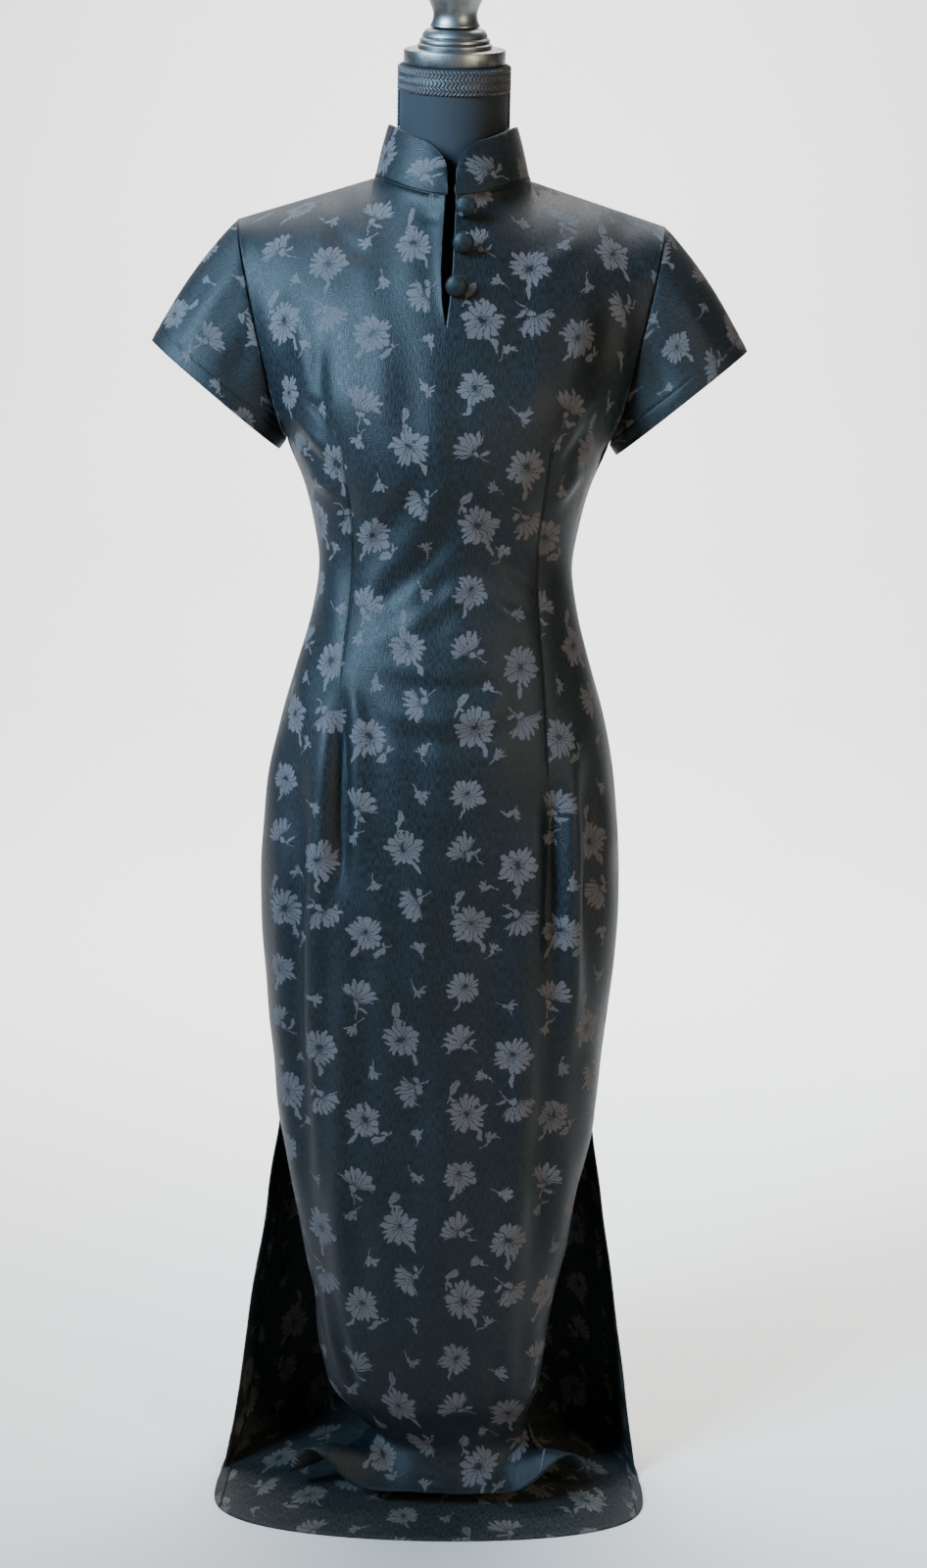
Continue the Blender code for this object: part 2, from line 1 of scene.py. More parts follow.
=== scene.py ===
"""Looks of a long cheongsam of figured satin on a limbless dress form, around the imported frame.

Metres, +Z up, the front faces -Y and the wearer's left is at +X. Every piece of cloth is a grid of rows
that run down and columns that run anticlockwise as seen from above, with its cut in its own UV map, in
metres, so that the figured design keeps its scale wherever the cloth goes.
"""
import logging
import math
from dataclasses import dataclass
from enum import Enum
from typing import Callable, Iterable, Optional, Sequence, Union

import bpy
import numpy as np
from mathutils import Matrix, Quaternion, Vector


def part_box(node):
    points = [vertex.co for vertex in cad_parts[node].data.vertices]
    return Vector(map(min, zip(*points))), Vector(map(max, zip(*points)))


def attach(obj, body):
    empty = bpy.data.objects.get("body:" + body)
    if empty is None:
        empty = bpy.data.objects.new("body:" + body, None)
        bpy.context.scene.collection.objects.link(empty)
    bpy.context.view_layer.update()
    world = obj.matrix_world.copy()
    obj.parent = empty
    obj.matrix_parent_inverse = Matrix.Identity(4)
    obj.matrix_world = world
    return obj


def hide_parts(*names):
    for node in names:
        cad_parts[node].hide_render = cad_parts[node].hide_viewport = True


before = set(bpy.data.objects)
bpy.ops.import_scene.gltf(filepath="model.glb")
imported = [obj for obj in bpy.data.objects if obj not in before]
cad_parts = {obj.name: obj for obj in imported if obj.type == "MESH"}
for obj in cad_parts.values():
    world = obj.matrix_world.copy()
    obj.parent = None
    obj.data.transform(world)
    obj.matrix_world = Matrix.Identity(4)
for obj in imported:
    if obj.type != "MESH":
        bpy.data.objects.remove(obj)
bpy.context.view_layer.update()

Array = np.ndarray
Socket = bpy.types.NodeSocket
Value = Union[float, Socket]
Tint = tuple[float, float, float]
Point = tuple[float, float, float]
BODY_NAME = "root"
LOG = logging.getLogger("cheongsam")


# ---- Grids and meshes ----
def unit(vectors: Array) -> Array:
    """Vectors of length one, along the last axis."""
    return vectors / np.maximum(np.linalg.norm(vectors, axis=-1, keepdims=True), 1e-12)


def bell(distance: Array, width: float) -> Array:
    """A bell curve: 1 at no distance, and 1/e at the width."""
    return np.exp(-(distance / width) ** 2)


def ramp(value: Array, low: float, high: float) -> Array:
    """A straight rise from 0 at low to 1 at high."""
    return np.clip((value - low) / (high - low), 0, 1)


def eased(share: Array) -> Array:
    """A share from 0 to 1, slowed at both ends."""
    return share * share * (3 - 2 * share)


def grid_normals(grid: Array, closed: bool = False) -> Array:
    """Outward normals of a grid: the cross product of its way down and its way across.

    Args:
        grid: rows x columns x 3 points.
        closed: whether the last column meets the first.

    Returns:
        Unit normals, in the grid's shape.
    """
    if closed:
        across = np.roll(grid, -1, axis=1) - np.roll(grid, 1, axis=1)
    else:
        across = np.gradient(grid, axis=1)
    return unit(np.cross(np.gradient(grid, axis=0), across))


def grid_faces(rows: int, columns: int, closed: bool) -> Array:
    """Quads of a grid that goes down and then anticlockwise, so that they face outwards.

    Args:
        rows: rows of the grid.
        columns: columns of the grid.
        closed: whether the last column meets the first.

    Returns:
        Rows of four indices.
    """
    row = np.arange(rows - 1)[:, None]
    column = np.arange(columns if closed else columns - 1)[None, :]
    following = (column + 1) % columns
    corners = (row * columns + column, (row + 1) * columns + column,
               (row + 1) * columns + following, row * columns + following)
    return np.stack(np.broadcast_arrays(*corners), axis=-1).reshape(-1, 4)


def smooth_rows(rows: Array, count: int, ease: float = 1.0) -> Array:
    """Rows on a cubic curve through the given rows, evenly spaced along the middle column.

    Each point follows the Hermite cubic whose slopes are the differences of its neighbours.

    Args:
        rows: the given rows, as rows x columns x 3.
        count: how many rows to return.
        ease: power that crowds the rows towards the first one when it is above 1.

    Returns:
        count rows.
    """
    steps = np.linalg.norm(np.diff(rows, axis=0), axis=-1).mean(axis=1)
    place = np.concatenate([[0.0], np.cumsum(steps)])
    slopes = np.gradient(rows, place, axis=0)
    wanted = place[-1] * np.linspace(0, 1, count) ** ease
    index = np.clip(np.searchsorted(place, wanted, side="right") - 1, 0, len(place) - 2)
    span = (place[index + 1] - place[index])[:, None, None]
    part = ((wanted - place[index])[:, None, None]) / span
    square, cube = part ** 2, part ** 3
    return ((2 * cube - 3 * square + 1) * rows[index] + (cube - 2 * square + part) * span * slopes[index]
            + (3 * square - 2 * cube) * rows[index + 1] + (cube - square) * span * slopes[index + 1])


def cut_uv(grid: Array, middle: int, waist: int) -> Array:
    """Flat cut of a grid in metres: length along each row from the middle column, and along each column.

    Args:
        grid: rows x columns x 3 points.
        middle: the column that lies on the straight grain.
        waist: the row that the lengths down are measured from.

    Returns:
        rows x columns x 2 places.
    """
    across = np.linalg.norm(np.diff(grid, axis=1), axis=-1)
    across = np.pad(np.cumsum(across, axis=1), ((0, 0), (1, 0)))
    across = across - across[:, middle:middle + 1]
    down = np.linalg.norm(np.diff(grid, axis=0), axis=-1)
    down = np.pad(np.cumsum(down, axis=0), ((1, 0), (0, 0)))
    down = down - down[waist:waist + 1]
    return np.stack([across, -down], axis=-1)


def add_piece(name: str, vertices: Array, faces: Array, materials: Sequence[bpy.types.Material],
              uv: Optional[Array] = None, marks: Optional[dict[str, Array]] = None) -> bpy.types.Object:
    """Put a mesh into the scene as a finished piece.

    Args:
        name: the piece's name.
        vertices: its points.
        faces: its quads or triangles, as rows of indices.
        materials: its materials, in slot order.
        uv: a place in the cut for each face corner.
        marks: named values for each vertex.

    Returns:
        The new object.
    """
    mesh = bpy.data.meshes.new(name)
    mesh.from_pydata(vertices.reshape(-1, 3).tolist(), [], faces.tolist())
    if uv is not None:
        layer = mesh.uv_layers.new(name="cut")
        layer.data.foreach_set("uv", np.ascontiguousarray(uv, dtype=np.float32).ravel())
    for mark, values in (marks or {}).items():
        attribute = mesh.attributes.new(mark, "FLOAT", "POINT")
        attribute.data.foreach_set("value", np.ascontiguousarray(values, dtype=np.float32).ravel())
    for material in materials:
        mesh.materials.append(material)
    mesh.shade_smooth()
    mesh.validate()
    piece = bpy.data.objects.new(name, mesh)
    bpy.context.collection.objects.link(piece)
    return piece


def closed_piece(name: str, rings: Array, tips: Array, material: bpy.types.Material,
                 sharp: float) -> bpy.types.Object:
    """Put a stack of rings into the scene, closed at both ends by fans round two points.

    Args:
        name: the piece's name.
        rings: rings x columns x 3 points, from the top down.
        tips: the middle of the top fan and of the bottom fan.
        material: its material.
        sharp: angle in degrees above which an edge is sharp.

    Returns:
        The new object.
    """
    count, columns = rings.shape[:2]
    ring = np.arange(columns)
    following, last, total = (ring + 1) % columns, (count - 1) * columns, count * columns
    top = np.stack([np.full(columns, total), ring, following], axis=-1)
    bottom = np.stack([np.full(columns, total + 1), last + following, last + ring], axis=-1)
    mesh = bpy.data.meshes.new(name)
    mesh.from_pydata(np.concatenate([rings.reshape(-1, 3), tips]).tolist(), [],
                     grid_faces(count, columns, True).tolist() + top.tolist() + bottom.tolist())
    mesh.materials.append(material)
    mesh.shade_smooth()
    mesh.set_sharp_from_angle(angle=math.radians(sharp))
    piece = bpy.data.objects.new(name, mesh)
    bpy.context.collection.objects.link(piece)
    return piece


def thicken(piece: bpy.types.Object, wall: float) -> None:
    """Give a sheet its thickness, inwards, with its wrong side in the next material slot.

    Args:
        piece: the sheet.
        wall: its thickness in metres.
    """
    solidify = piece.modifiers.new("wall", "SOLIDIFY")
    solidify.thickness = wall
    solidify.offset = -1.0
    solidify.material_offset = 1
    solidify.use_even_offset = False


def tubes(paths: Array, radii: Array, sides: int = 6) -> tuple[Array, Array]:
    """Round tubes along many paths at once, their rings drawn in to a point at both ends.

    A ring stands square to the path, on the two directions square to its tangent.

    Args:
        paths: strands x points x 3.
        radii: strands x points.
        sides: corners of each ring.

    Returns:
        All vertices, and all quads.
    """
    strands, points = paths.shape[:2]
    tangent = unit(np.gradient(paths, axis=1))
    helper = np.where(np.abs(tangent[..., 2:3]) > 0.9, [1.0, 0.0, 0.0], [0.0, 0.0, 1.0])
    first = unit(np.cross(helper, tangent))
    second = np.cross(tangent, first)
    angle = np.linspace(0, 2 * math.pi, sides, endpoint=False)
    ring = (np.cos(angle)[:, None] * first[:, :, None] + np.sin(angle)[:, None] * second[:, :, None])
    vertices = paths[:, :, None] + radii[:, :, None, None] * ring
    quads = grid_faces(points, sides, True)[None] + (np.arange(strands) * points * sides)[:, None, None]
    return vertices.reshape(-1, 3), quads.reshape(-1, 4)[:, ::-1]


# ---- Node wiring ----
class Wiring:
    """Short calls that add nodes to a tree and link them."""

    def __init__(self, tree: bpy.types.NodeTree) -> None:
        """Keep the tree."""
        self.tree = tree

    def node(self, kind: str, **settings: object) -> bpy.types.Node:
        """Add a node of a kind and set its properties.

        Args:
            kind: its type name.
            settings: properties by name.

        Returns:
            The node.
        """
        node = self.tree.nodes.new(kind)
        for key, value in settings.items():
            setattr(node, key, value)
        return node

    def feed(self, socket: Socket, value: object) -> None:
        """Link a socket, or set its value.

        Args:
            socket: the input.
            value: a socket to link from, or a value.
        """
        if isinstance(value, bpy.types.NodeSocket):
            self.tree.links.new(value, socket)
        elif socket.type == "RGBA":
            socket.default_value = (*value, 1.0)
        else:
            socket.default_value = value

    def math(self, operation: str, first: Value, second: Value = 0.0, third: Value = 0.0) -> Socket:
        """A Math node's result.

        Args:
            operation: its name.
            first: the first input.
            second: the second input.
            third: the third input.

        Returns:
            The result.
        """
        node = self.node("ShaderNodeMath", operation=operation)
        for socket, value in zip(node.inputs, (first, second, third)):
            self.feed(socket, value)
        return node.outputs[0]

    def add(self, first: Value, second: Value) -> Socket:
        """Sum."""
        return self.math("ADD", first, second)

    def sub(self, first: Value, second: Value) -> Socket:
        """Difference."""
        return self.math("SUBTRACT", first, second)

    def mul(self, first: Value, second: Value) -> Socket:
        """Product."""
        return self.math("MULTIPLY", first, second)

    def affine(self, value: Value, factor: Value, offset: Value) -> Socket:
        """A value times a factor, plus an offset."""
        return self.math("MULTIPLY_ADD", value, factor, offset)

    def largest(self, first: Value, second: Value) -> Socket:
        """The larger of two values."""
        return self.math("MAXIMUM", first, second)

    def absolute(self, value: Value) -> Socket:
        """A value without its sign."""
        return self.math("ABSOLUTE", value)

    def sine(self, value: Value) -> Socket:
        """The sine of an angle in radians."""
        return self.math("SINE", value)

    def length(self, vector: Socket, shift: Point = (0.0, 0.0, 0.0)) -> Socket:
        """The length of a vector once a shift is added to it."""
        return self.vector("LENGTH", self.vector("ADD", vector, shift).outputs[0]).outputs["Value"]

    def own_place(self) -> Socket:
        """The piece's own coordinates."""
        return self.node("ShaderNodeTexCoord").outputs["Object"]

    def step(self, value: Value, low: Value, high: Value) -> Socket:
        """Smooth step of a value from 0 at low to 1 at high.

        Args:
            value: the value.
            low: where it starts.
            high: where it ends.

        Returns:
            The result.
        """
        node = self.node("ShaderNodeMapRange", interpolation_type="SMOOTHSTEP")
        self.feed(node.inputs["Value"], value)
        self.feed(node.inputs["From Min"], low)
        self.feed(node.inputs["From Max"], high)
        return node.outputs["Result"]

    def falling(self, value: Value, low: Value, high: Value) -> Socket:
        """Smooth step of a value from 1 at low to 0 at high."""
        return self.sub(1.0, self.step(value, low, high))

    def vector(self, operation: str, first: object, second: object = (0.0, 0.0, 0.0),
               third: object = (0.0, 0.0, 0.0)) -> bpy.types.Node:
        """A Vector Math node.

        Args:
            operation: its name.
            first: the first input.
            second: the second input.
            third: the third input.

        Returns:
            The node.
        """
        node = self.node("ShaderNodeVectorMath", operation=operation)
        for socket, value in zip(node.inputs, (first, second, third)):
            self.feed(socket, value)
        return node

    def scaled(self, vector: Socket, scale: tuple[float, float, float]) -> Socket:
        """A vector with each part multiplied."""
        return self.vector("MULTIPLY", vector, scale).outputs[0]

    def parts(self, vector: Socket) -> tuple[Socket, Socket]:
        """The x and y of a vector.

        Args:
            vector: the vector.

        Returns:
            Both parts.
        """
        node = self.node("ShaderNodeSeparateXYZ")
        self.feed(node.inputs[0], vector)
        return node.outputs[0], node.outputs[1]

    def noise(self, vector: Socket, scale: float, detail: float = 2.0, roughness: float = 0.5) -> Socket:
        """A noise value from 0 to 1.

        Args:
            vector: the places.
            scale: features to a unit.
            detail: octaves.
            roughness: weight of the finer octaves.

        Returns:
            The result.
        """
        node = self.node("ShaderNodeTexNoise")
        self.feed(node.inputs["Vector"], vector)
        node.inputs["Scale"].default_value = scale
        node.inputs["Detail"].default_value = detail
        node.inputs["Roughness"].default_value = roughness
        return node.outputs["Fac"]

    def mix(self, share: Value, first: object, second: object) -> Socket:
        """A mix of two colours.

        Args:
            share: share of the second.
            first: the first input.
            second: the second input.

        Returns:
            The result.
        """
        node = self.node("ShaderNodeMix", data_type="RGBA")
        self.feed(node.inputs[0], share)
        self.feed(node.inputs[6], first)
        self.feed(node.inputs[7], second)
        return node.outputs[2]

    def bump(self, height: Socket, distance: float, strength: float = 1.0,
             normal: Optional[Socket] = None) -> Socket:
        """A bumped normal, on top of another where one is given.

        Args:
            height: the height.
            distance: metres for a height of 1.
            strength: how much of it counts.
            normal: the normal beneath.

        Returns:
            The result.
        """
        node = self.node("ShaderNodeBump")
        node.inputs["Strength"].default_value = strength
        node.inputs["Distance"].default_value = distance
        self.feed(node.inputs["Height"], height)
        if normal is not None:
            self.feed(node.inputs["Normal"], normal)
        return node.outputs[0]


# ---- The figured design: daisies, half daisies, buds and leaves tossed over a repeat ----
class Motif(Enum):
    """The kinds of woven figure."""

    DAISY = "daisy"
    HALF_DAISY = "half_daisy"
    BUD = "bud"
    SPRIG = "sprig"


@dataclass(frozen=True)
class Spot:
    """One figure in the repeat: its kind, its place in mm, its turn in degrees and its size in mm."""

    kind: Motif
    across: float
    up: float
    turn: float
    radius: float


REPEAT = (0.184, 0.182)
SPOTS = (
    Spot(Motif.DAISY, 30, 38, 12, 19.0),
    Spot(Motif.SPRIG, 16, 60, 35, 12.0),
    Spot(Motif.DAISY, 117, 26, 70, 17.5),
    Spot(Motif.SPRIG, 134, 10, -120, 11.0),
    Spot(Motif.DAISY, 72, 92, 40, 18.5),
    Spot(Motif.DAISY, 152, 108, 5, 17.5),
    Spot(Motif.SPRIG, 146, 132, 15, 12.0),
    Spot(Motif.DAISY, 24, 160, 55, 15.5),
    Spot(Motif.HALF_DAISY, 76, 42, 150, 20.0),
    Spot(Motif.HALF_DAISY, 22, 108, -40, 19.0),
    Spot(Motif.HALF_DAISY, 110, 146, 25, 20.5),
    Spot(Motif.HALF_DAISY, 162, 58, -115, 18.5),
    Spot(Motif.BUD, 52, 12, 30, 11.0),
    Spot(Motif.BUD, 106, 116, -150, 11.5),
    Spot(Motif.BUD, 44, 74, -70, 10.0),
    Spot(Motif.BUD, 124, 74, 160, 11.0),
    Spot(Motif.BUD, 66, 140, 95, 11.5),
    Spot(Motif.BUD, 168, 16, -20, 10.5),
    Spot(Motif.BUD, 166, 158, 130, 11.0),
)


def petals(wire: Wiring, radius: Socket, angle: Socket, count: int, fullness: float) -> Socket:
    """A ring of petals: a scalloped edge, and a dark line between each petal and the next.

    Args:
        wire: the tree's wiring.
        radius: distance from the middle, 1 at the petals' tips.
        angle: direction, in radians.
        count: petals in a whole turn.
        fullness: how far out the notches between the petals start.

    Returns:
        The share of figure, from 0 to 1.
    """
    fan = wire.absolute(wire.sine(wire.mul(angle, count / 2)))
    edge = wire.affine(wire.math("POWER", fan, 0.75), 1.0 - fullness, fullness)
    body = wire.step(wire.sub(edge, radius), -0.02, 0.07)
    line = wire.mul(wire.mul(fan, radius), 2.0 / count)
    return wire.mul(body, wire.affine(wire.step(line, 0.004, 0.030), 0.8, 0.2))


def ellipse(wire: Wiring, x: Socket, y: Socket, centre: tuple[float, float], half: tuple[float, float],
            soft: float = 0.35) -> Socket:
    """An ellipse with a soft edge: 1 inside and 0 outside.

    Args:
        wire: the tree's wiring.
        x: places across.
        y: places up.
        centre: its middle.
        half: half its length each way.
        soft: width of its edge.

    Returns:
        The result.
    """
    along = wire.math("DIVIDE", wire.sub(x, centre[0]), half[0])
    up = wire.math("DIVIDE", wire.sub(y, centre[1]), half[1])
    reach = wire.math("SQRT", wire.add(wire.mul(along, along), wire.mul(up, up)))
    return wire.falling(reach, 1.0 - soft / 2, 1.0 + soft / 2)


def stem(wire: Wiring, x: Socket, y: Socket, bend: float, low: float, high: float, half: float) -> Socket:
    """A thin stem that bends as the square of its height, between two heights.

    Args:
        wire: the tree's wiring.
        x: places across.
        y: places up.
        bend: sideways for the square of the height.
        low: its lower end.
        high: its upper end.
        half: half its width.

    Returns:
        The result.
    """
    away = wire.absolute(wire.sub(x, wire.mul(wire.mul(y, y), bend)))
    inside = wire.mul(wire.step(y, low - 0.03, low + 0.03), wire.falling(y, high - 0.03, high + 0.03))
    return wire.mul(wire.falling(away, half * 0.5, half * 1.4), inside)


def fan_head(wire: Wiring, place: Socket, drop: float, size: float, ring: tuple[int, float],
             spread: tuple[float, float]) -> Socket:
    """A flower seen from the side: the petals of a ring that lie within an angle of straight up.

    Args:
        wire: the tree's wiring.
        place: places about the figure's middle.
        drop: how far below the middle the petals meet.
        size: distance from there to the petals' tips.
        ring: petals in a whole turn, and how full they are.
        spread: angles from straight up over which the fan fades out.

    Returns:
        The share of figure, from 0 to 1.
    """
    x, y = wire.parts(place)
    angle = wire.math("ARCTAN2", x, wire.add(y, drop))
    reach = wire.math("DIVIDE", wire.length(place, (0.0, drop, 0.0)), size)
    return wire.mul(petals(wire, reach, angle, *ring), wire.falling(wire.absolute(angle), *spread))


def motif_group(kind: Motif) -> bpy.types.NodeTree:
    """The node group that draws one figure about its own middle, in units of its radius.

    Args:
        kind: the kind of figure.

    Returns:
        The group.
    """
    group = bpy.data.node_groups.new(f"figure_{kind.value}", "ShaderNodeTree")
    group.interface.new_socket("Place", in_out="INPUT", socket_type="NodeSocketVector")
    group.interface.new_socket("Figure", in_out="OUTPUT", socket_type="NodeSocketFloat")
    wire = Wiring(group)
    place = wire.node("NodeGroupInput").outputs[0]
    x, y = wire.parts(place)
    radius = wire.length(place)
    if kind is Motif.DAISY:
        turn = wire.math("ARCTAN2", y, x)
        angle = wire.affine(wire.sine(wire.affine(turn, 3.0, 0.8)), 0.10, turn)
        swing = wire.sine(wire.affine(turn, 5.0, 2.0))
        reach = wire.mul(radius, wire.affine(swing, 0.07, 1.0))
        whole = petals(wire, reach, angle, 15, 0.66)
        short = wire.absolute(wire.sine(wire.affine(turn, 4.5, 0.6)))
        inner = wire.mul(wire.step(radius, 0.12, 0.20), wire.falling(radius, 0.34, 0.55))
        vein = wire.mul(inner, wire.falling(wire.mul(short, radius), 0.02, 0.09))
        heart = wire.falling(wire.length(place, (0.05, -0.04, 0.0)), 0.06, 0.19)
        figure = wire.mul(whole, wire.sub(1.0, wire.mul(heart, 0.70)))
        figure = wire.mul(figure, wire.sub(1.0, wire.mul(vein, 0.65)))
        leaf = ellipse(wire, wire.add(x, wire.mul(y, 0.5)), y, (0.30, -0.98), (0.13, 0.30), 0.5)
        figure = wire.largest(figure, leaf)
    elif kind is Motif.HALF_DAISY:
        fan = fan_head(wire, place, 0.25, 1.05, (17, 0.64), (1.15, 1.32))
        figure = wire.largest(fan, ellipse(wire, x, y, (0.0, -0.34), (0.17, 0.15)))
        figure = wire.largest(figure, stem(wire, x, y, 0.30, -1.05, -0.40, 0.035))
        figure = wire.largest(figure, ellipse(wire, x, y, (0.42, -0.50), (0.26, 0.10)))
    elif kind is Motif.BUD:
        fan = fan_head(wire, place, 0.2, 0.92, (11, 0.60), (0.75, 0.95))
        figure = wire.largest(fan, ellipse(wire, x, y, (0.0, -0.20), (0.22, 0.18)))
        figure = wire.largest(figure, stem(wire, x, y, -0.28, -1.05, -0.25, 0.055))
    else:
        vein = wire.falling(wire.absolute(x), 0.01, 0.05)
        leaf = wire.mul(ellipse(wire, x, y, (0.0, 0.35), (0.27, 0.60)), wire.sub(1.0, wire.mul(vein, 0.6)))
        figure = wire.largest(leaf, stem(wire, x, y, 0.25, -0.95, 0.0, 0.06))
        figure = wire.largest(figure, ellipse(wire, x, y, (0.32, -0.42), (0.28, 0.12)))
    wire.feed(wire.node("NodeGroupOutput").inputs[0], figure)
    return group


def design_group() -> bpy.types.NodeTree:
    """The node group that draws the whole repeat on a cut's places, in metres.

    Each figure's place is folded into the repeat round its own middle, turned and divided by its
    radius, so that a figure on the repeat's edge comes whole. Of each kind only the nearest is drawn.

    Returns:
        The group.
    """
    group = bpy.data.node_groups.new("tossed_daisies", "ShaderNodeTree")
    group.interface.new_socket("Cut", in_out="INPUT", socket_type="NodeSocketVector")
    group.interface.new_socket("Figure", in_out="OUTPUT", socket_type="NodeSocketFloat")
    wire = Wiring(group)
    cut = wire.node("NodeGroupInput").outputs[0]
    place = cut
    for scale, reach in ((85.0, 0.0085), (620.0, 0.0022)):
        shake = wire.node("ShaderNodeTexNoise", noise_dimensions="2D")
        wire.feed(shake.inputs["Vector"], cut)
        shake.inputs["Scale"].default_value = scale
        shake.inputs["Detail"].default_value = 1.0
        offset = wire.vector("SUBTRACT", shake.outputs["Color"], (0.5, 0.5, 0.5)).outputs[0]
        place = wire.vector("ADD", place, wire.scaled(offset, (reach, reach, 0.0))).outputs[0]
    half = (REPEAT[0] / 2, REPEAT[1] / 2, 1.0)
    result: Value = 0.0
    for kind in Motif:
        nearest, best = None, None
        for spot in (item for item in SPOTS if item.kind is kind):
            centre = (spot.across / 1000, spot.up / 1000, 0.0)
            folded = wire.vector("WRAP", wire.vector("SUBTRACT", place, centre).outputs[0],
                                 half, tuple(-part for part in half)).outputs[0]
            turned = wire.node("ShaderNodeMapping", vector_type="POINT")
            wire.feed(turned.inputs["Vector"], folded)
            turned.inputs["Scale"].default_value = (1000 / spot.radius, 1000 / spot.radius, 0.0)
            turned.inputs["Rotation"].default_value = (0.0, 0.0, math.radians(spot.turn))
            local = turned.outputs[0]
            reach = wire.length(local)
            if nearest is None:
                nearest, best = local, reach
                continue
            chosen = wire.node("ShaderNodeMix", data_type="VECTOR")
            wire.feed(chosen.inputs[0], wire.math("LESS_THAN", reach, best))
            wire.feed(chosen.inputs[4], nearest)
            wire.feed(chosen.inputs[5], local)
            nearest, best = chosen.outputs[1], wire.math("MINIMUM", reach, best)
        figure = wire.node("ShaderNodeGroup")
        figure.node_tree = motif_group(kind)
        wire.feed(figure.inputs[0], nearest)
        result = wire.largest(figure.outputs[0], result)
    wire.feed(wire.node("NodeGroupOutput").inputs[0], result)
    return group


# ---- Finishes ----
def shade(tint: Tint, share: float) -> Tint:
    """A colour with each part multiplied by a share."""
    return tuple(part * share for part in tint)


def new_material(name: str) -> tuple[bpy.types.Material, Wiring, bpy.types.Node]:
    """A material with a Principled shader, and its wiring.

    Args:
        name: its name.

    Returns:
        The material, its wiring and its shader.
    """
    material = bpy.data.materials.new(name)
    material.use_nodes = True
    return material, Wiring(material.node_tree), material.node_tree.nodes["Principled BSDF"]


@dataclass(frozen=True)
class FiguredSatin:
    """Satin with a woven figure: a glossy dark ground, and a duller grey-mauve daisy."""

    name: str = "figured_satin"
    ground: Tint = (0.0025, 0.0040, 0.0052)
    ground_light: Tint = (0.0075, 0.0130, 0.0180)
    figure: Tint = (0.084, 0.076, 0.081)
    ground_roughness: float = 0.52
    figure_roughness: float = 0.78
    specular: float = 0.24
    figure_share: float = 1.0

    def build(self, design: bpy.types.NodeTree) -> bpy.types.Material:
        """Make the material.

        Args:
            design: the node group that draws the figure.

        Returns:
            The material.
        """
        material, wire, shader = new_material(self.name)
        cut = wire.node("ShaderNodeUVMap", uv_map="cut").outputs[0]
        seam = wire.node("ShaderNodeAttribute", attribute_name="seam").outputs["Fac"]
        drawn = wire.node("ShaderNodeGroup")
        drawn.node_tree = design
        wire.feed(drawn.inputs[0], cut)
        threads = wire.noise(wire.scaled(cut, (780.0, 150.0, 1.0)), 1.0, 2.0)
        floats = wire.noise(wire.scaled(cut, (380.0, 1200.0, 1.0)), 1.0, 1.0)
        cloudy = wire.noise(cut, 14.0, 3.0)
        rough_edge = wire.affine(wire.sub(floats, 0.5), 0.9, drawn.outputs[0])
        figure = wire.mul(wire.step(rough_edge, 0.25, 0.75), self.figure_share)
        ground = wire.mix(wire.step(threads, 0.35, 0.66), self.ground, self.ground_light)
        worn = wire.mix(wire.mul(wire.step(floats, 0.35, 0.8), 0.5), self.figure,
                        shade(self.figure, 0.55))
        color = wire.mix(figure, ground, worn)
        color = wire.mix(wire.mul(wire.step(cloudy, 0.35, 0.75), 0.25), color,
                         shade(self.ground, 0.6))
        # Darker along the seam mark: the stitched seams and darts, and on the buttons a ring of painted shade
        # under the rim.
        color = wire.mix(wire.mul(seam, 0.75), color, (0.004, 0.005, 0.006))
        wire.feed(shader.inputs["Base Color"], color)
        rough = wire.affine(figure, self.figure_roughness - self.ground_roughness,
                          self.ground_roughness)
        wire.feed(shader.inputs["Roughness"],
                  wire.affine(wire.sub(threads, 0.5), 0.40, rough))
        shader.inputs["Specular IOR Level"].default_value = self.specular
        weave = wire.bump(wire.add(threads, floats), 0.00030, 0.9)
        wire.feed(shader.inputs["Normal"], wire.bump(wire.mul(seam, -1.0), 0.0006, 0.9, weave))
        return material


@dataclass(frozen=True)
class Knit:
    """Matt black jersey stretched over the form, with fine ribs and a bluish bloom."""

    name: str = "black_jersey"
    color: Tint = (0.010, 0.012, 0.015)
    fleck: Tint = (0.038, 0.044, 0.054)

    def build(self) -> bpy.types.Material:
        """Make the material.

        Returns:
            The material.
        """
        material, wire, shader = new_material(self.name)
        place = wire.own_place()
        ribs = wire.noise(wire.scaled(place, (1500.0, 1500.0, 500.0)), 1.0, 1.0)
        fluff = wire.noise(place, 700.0, 3.0, 0.6)
        wire.feed(shader.inputs["Base Color"], wire.mix(wire.mul(fluff, ribs), self.color, self.fleck))
        wire.feed(shader.inputs["Roughness"], wire.affine(ribs, 0.15, 0.78))
        shader.inputs["Specular IOR Level"].default_value = 0.25
        wire.feed(shader.inputs["Normal"], wire.bump(wire.add(ribs, fluff), 0.0003, 0.6))
        return material


@dataclass(frozen=True)
class Cord:
    """Lustrous black gimp, each strand with fine windings across it."""

    name: str = "black_gimp"
    color: Tint = (0.010, 0.010, 0.012)
    glint: Tint = (0.100, 0.100, 0.108)

    def build(self) -> bpy.types.Material:
        """Make the material.

        Returns:
            The material.
        """
        material, wire, shader = new_material(self.name)
        place = wire.own_place()
        windings = wire.noise(wire.scaled(place, (2600.0, 2600.0, 2600.0)), 1.0, 2.0)
        wire.feed(shader.inputs["Base Color"],
                  wire.mix(wire.step(windings, 0.4, 0.75), self.color, self.glint))
        wire.feed(shader.inputs["Roughness"], wire.affine(windings, 0.25, 0.32))
        wire.feed(shader.inputs["Normal"], wire.bump(windings, 0.0002, 0.7))
        return material


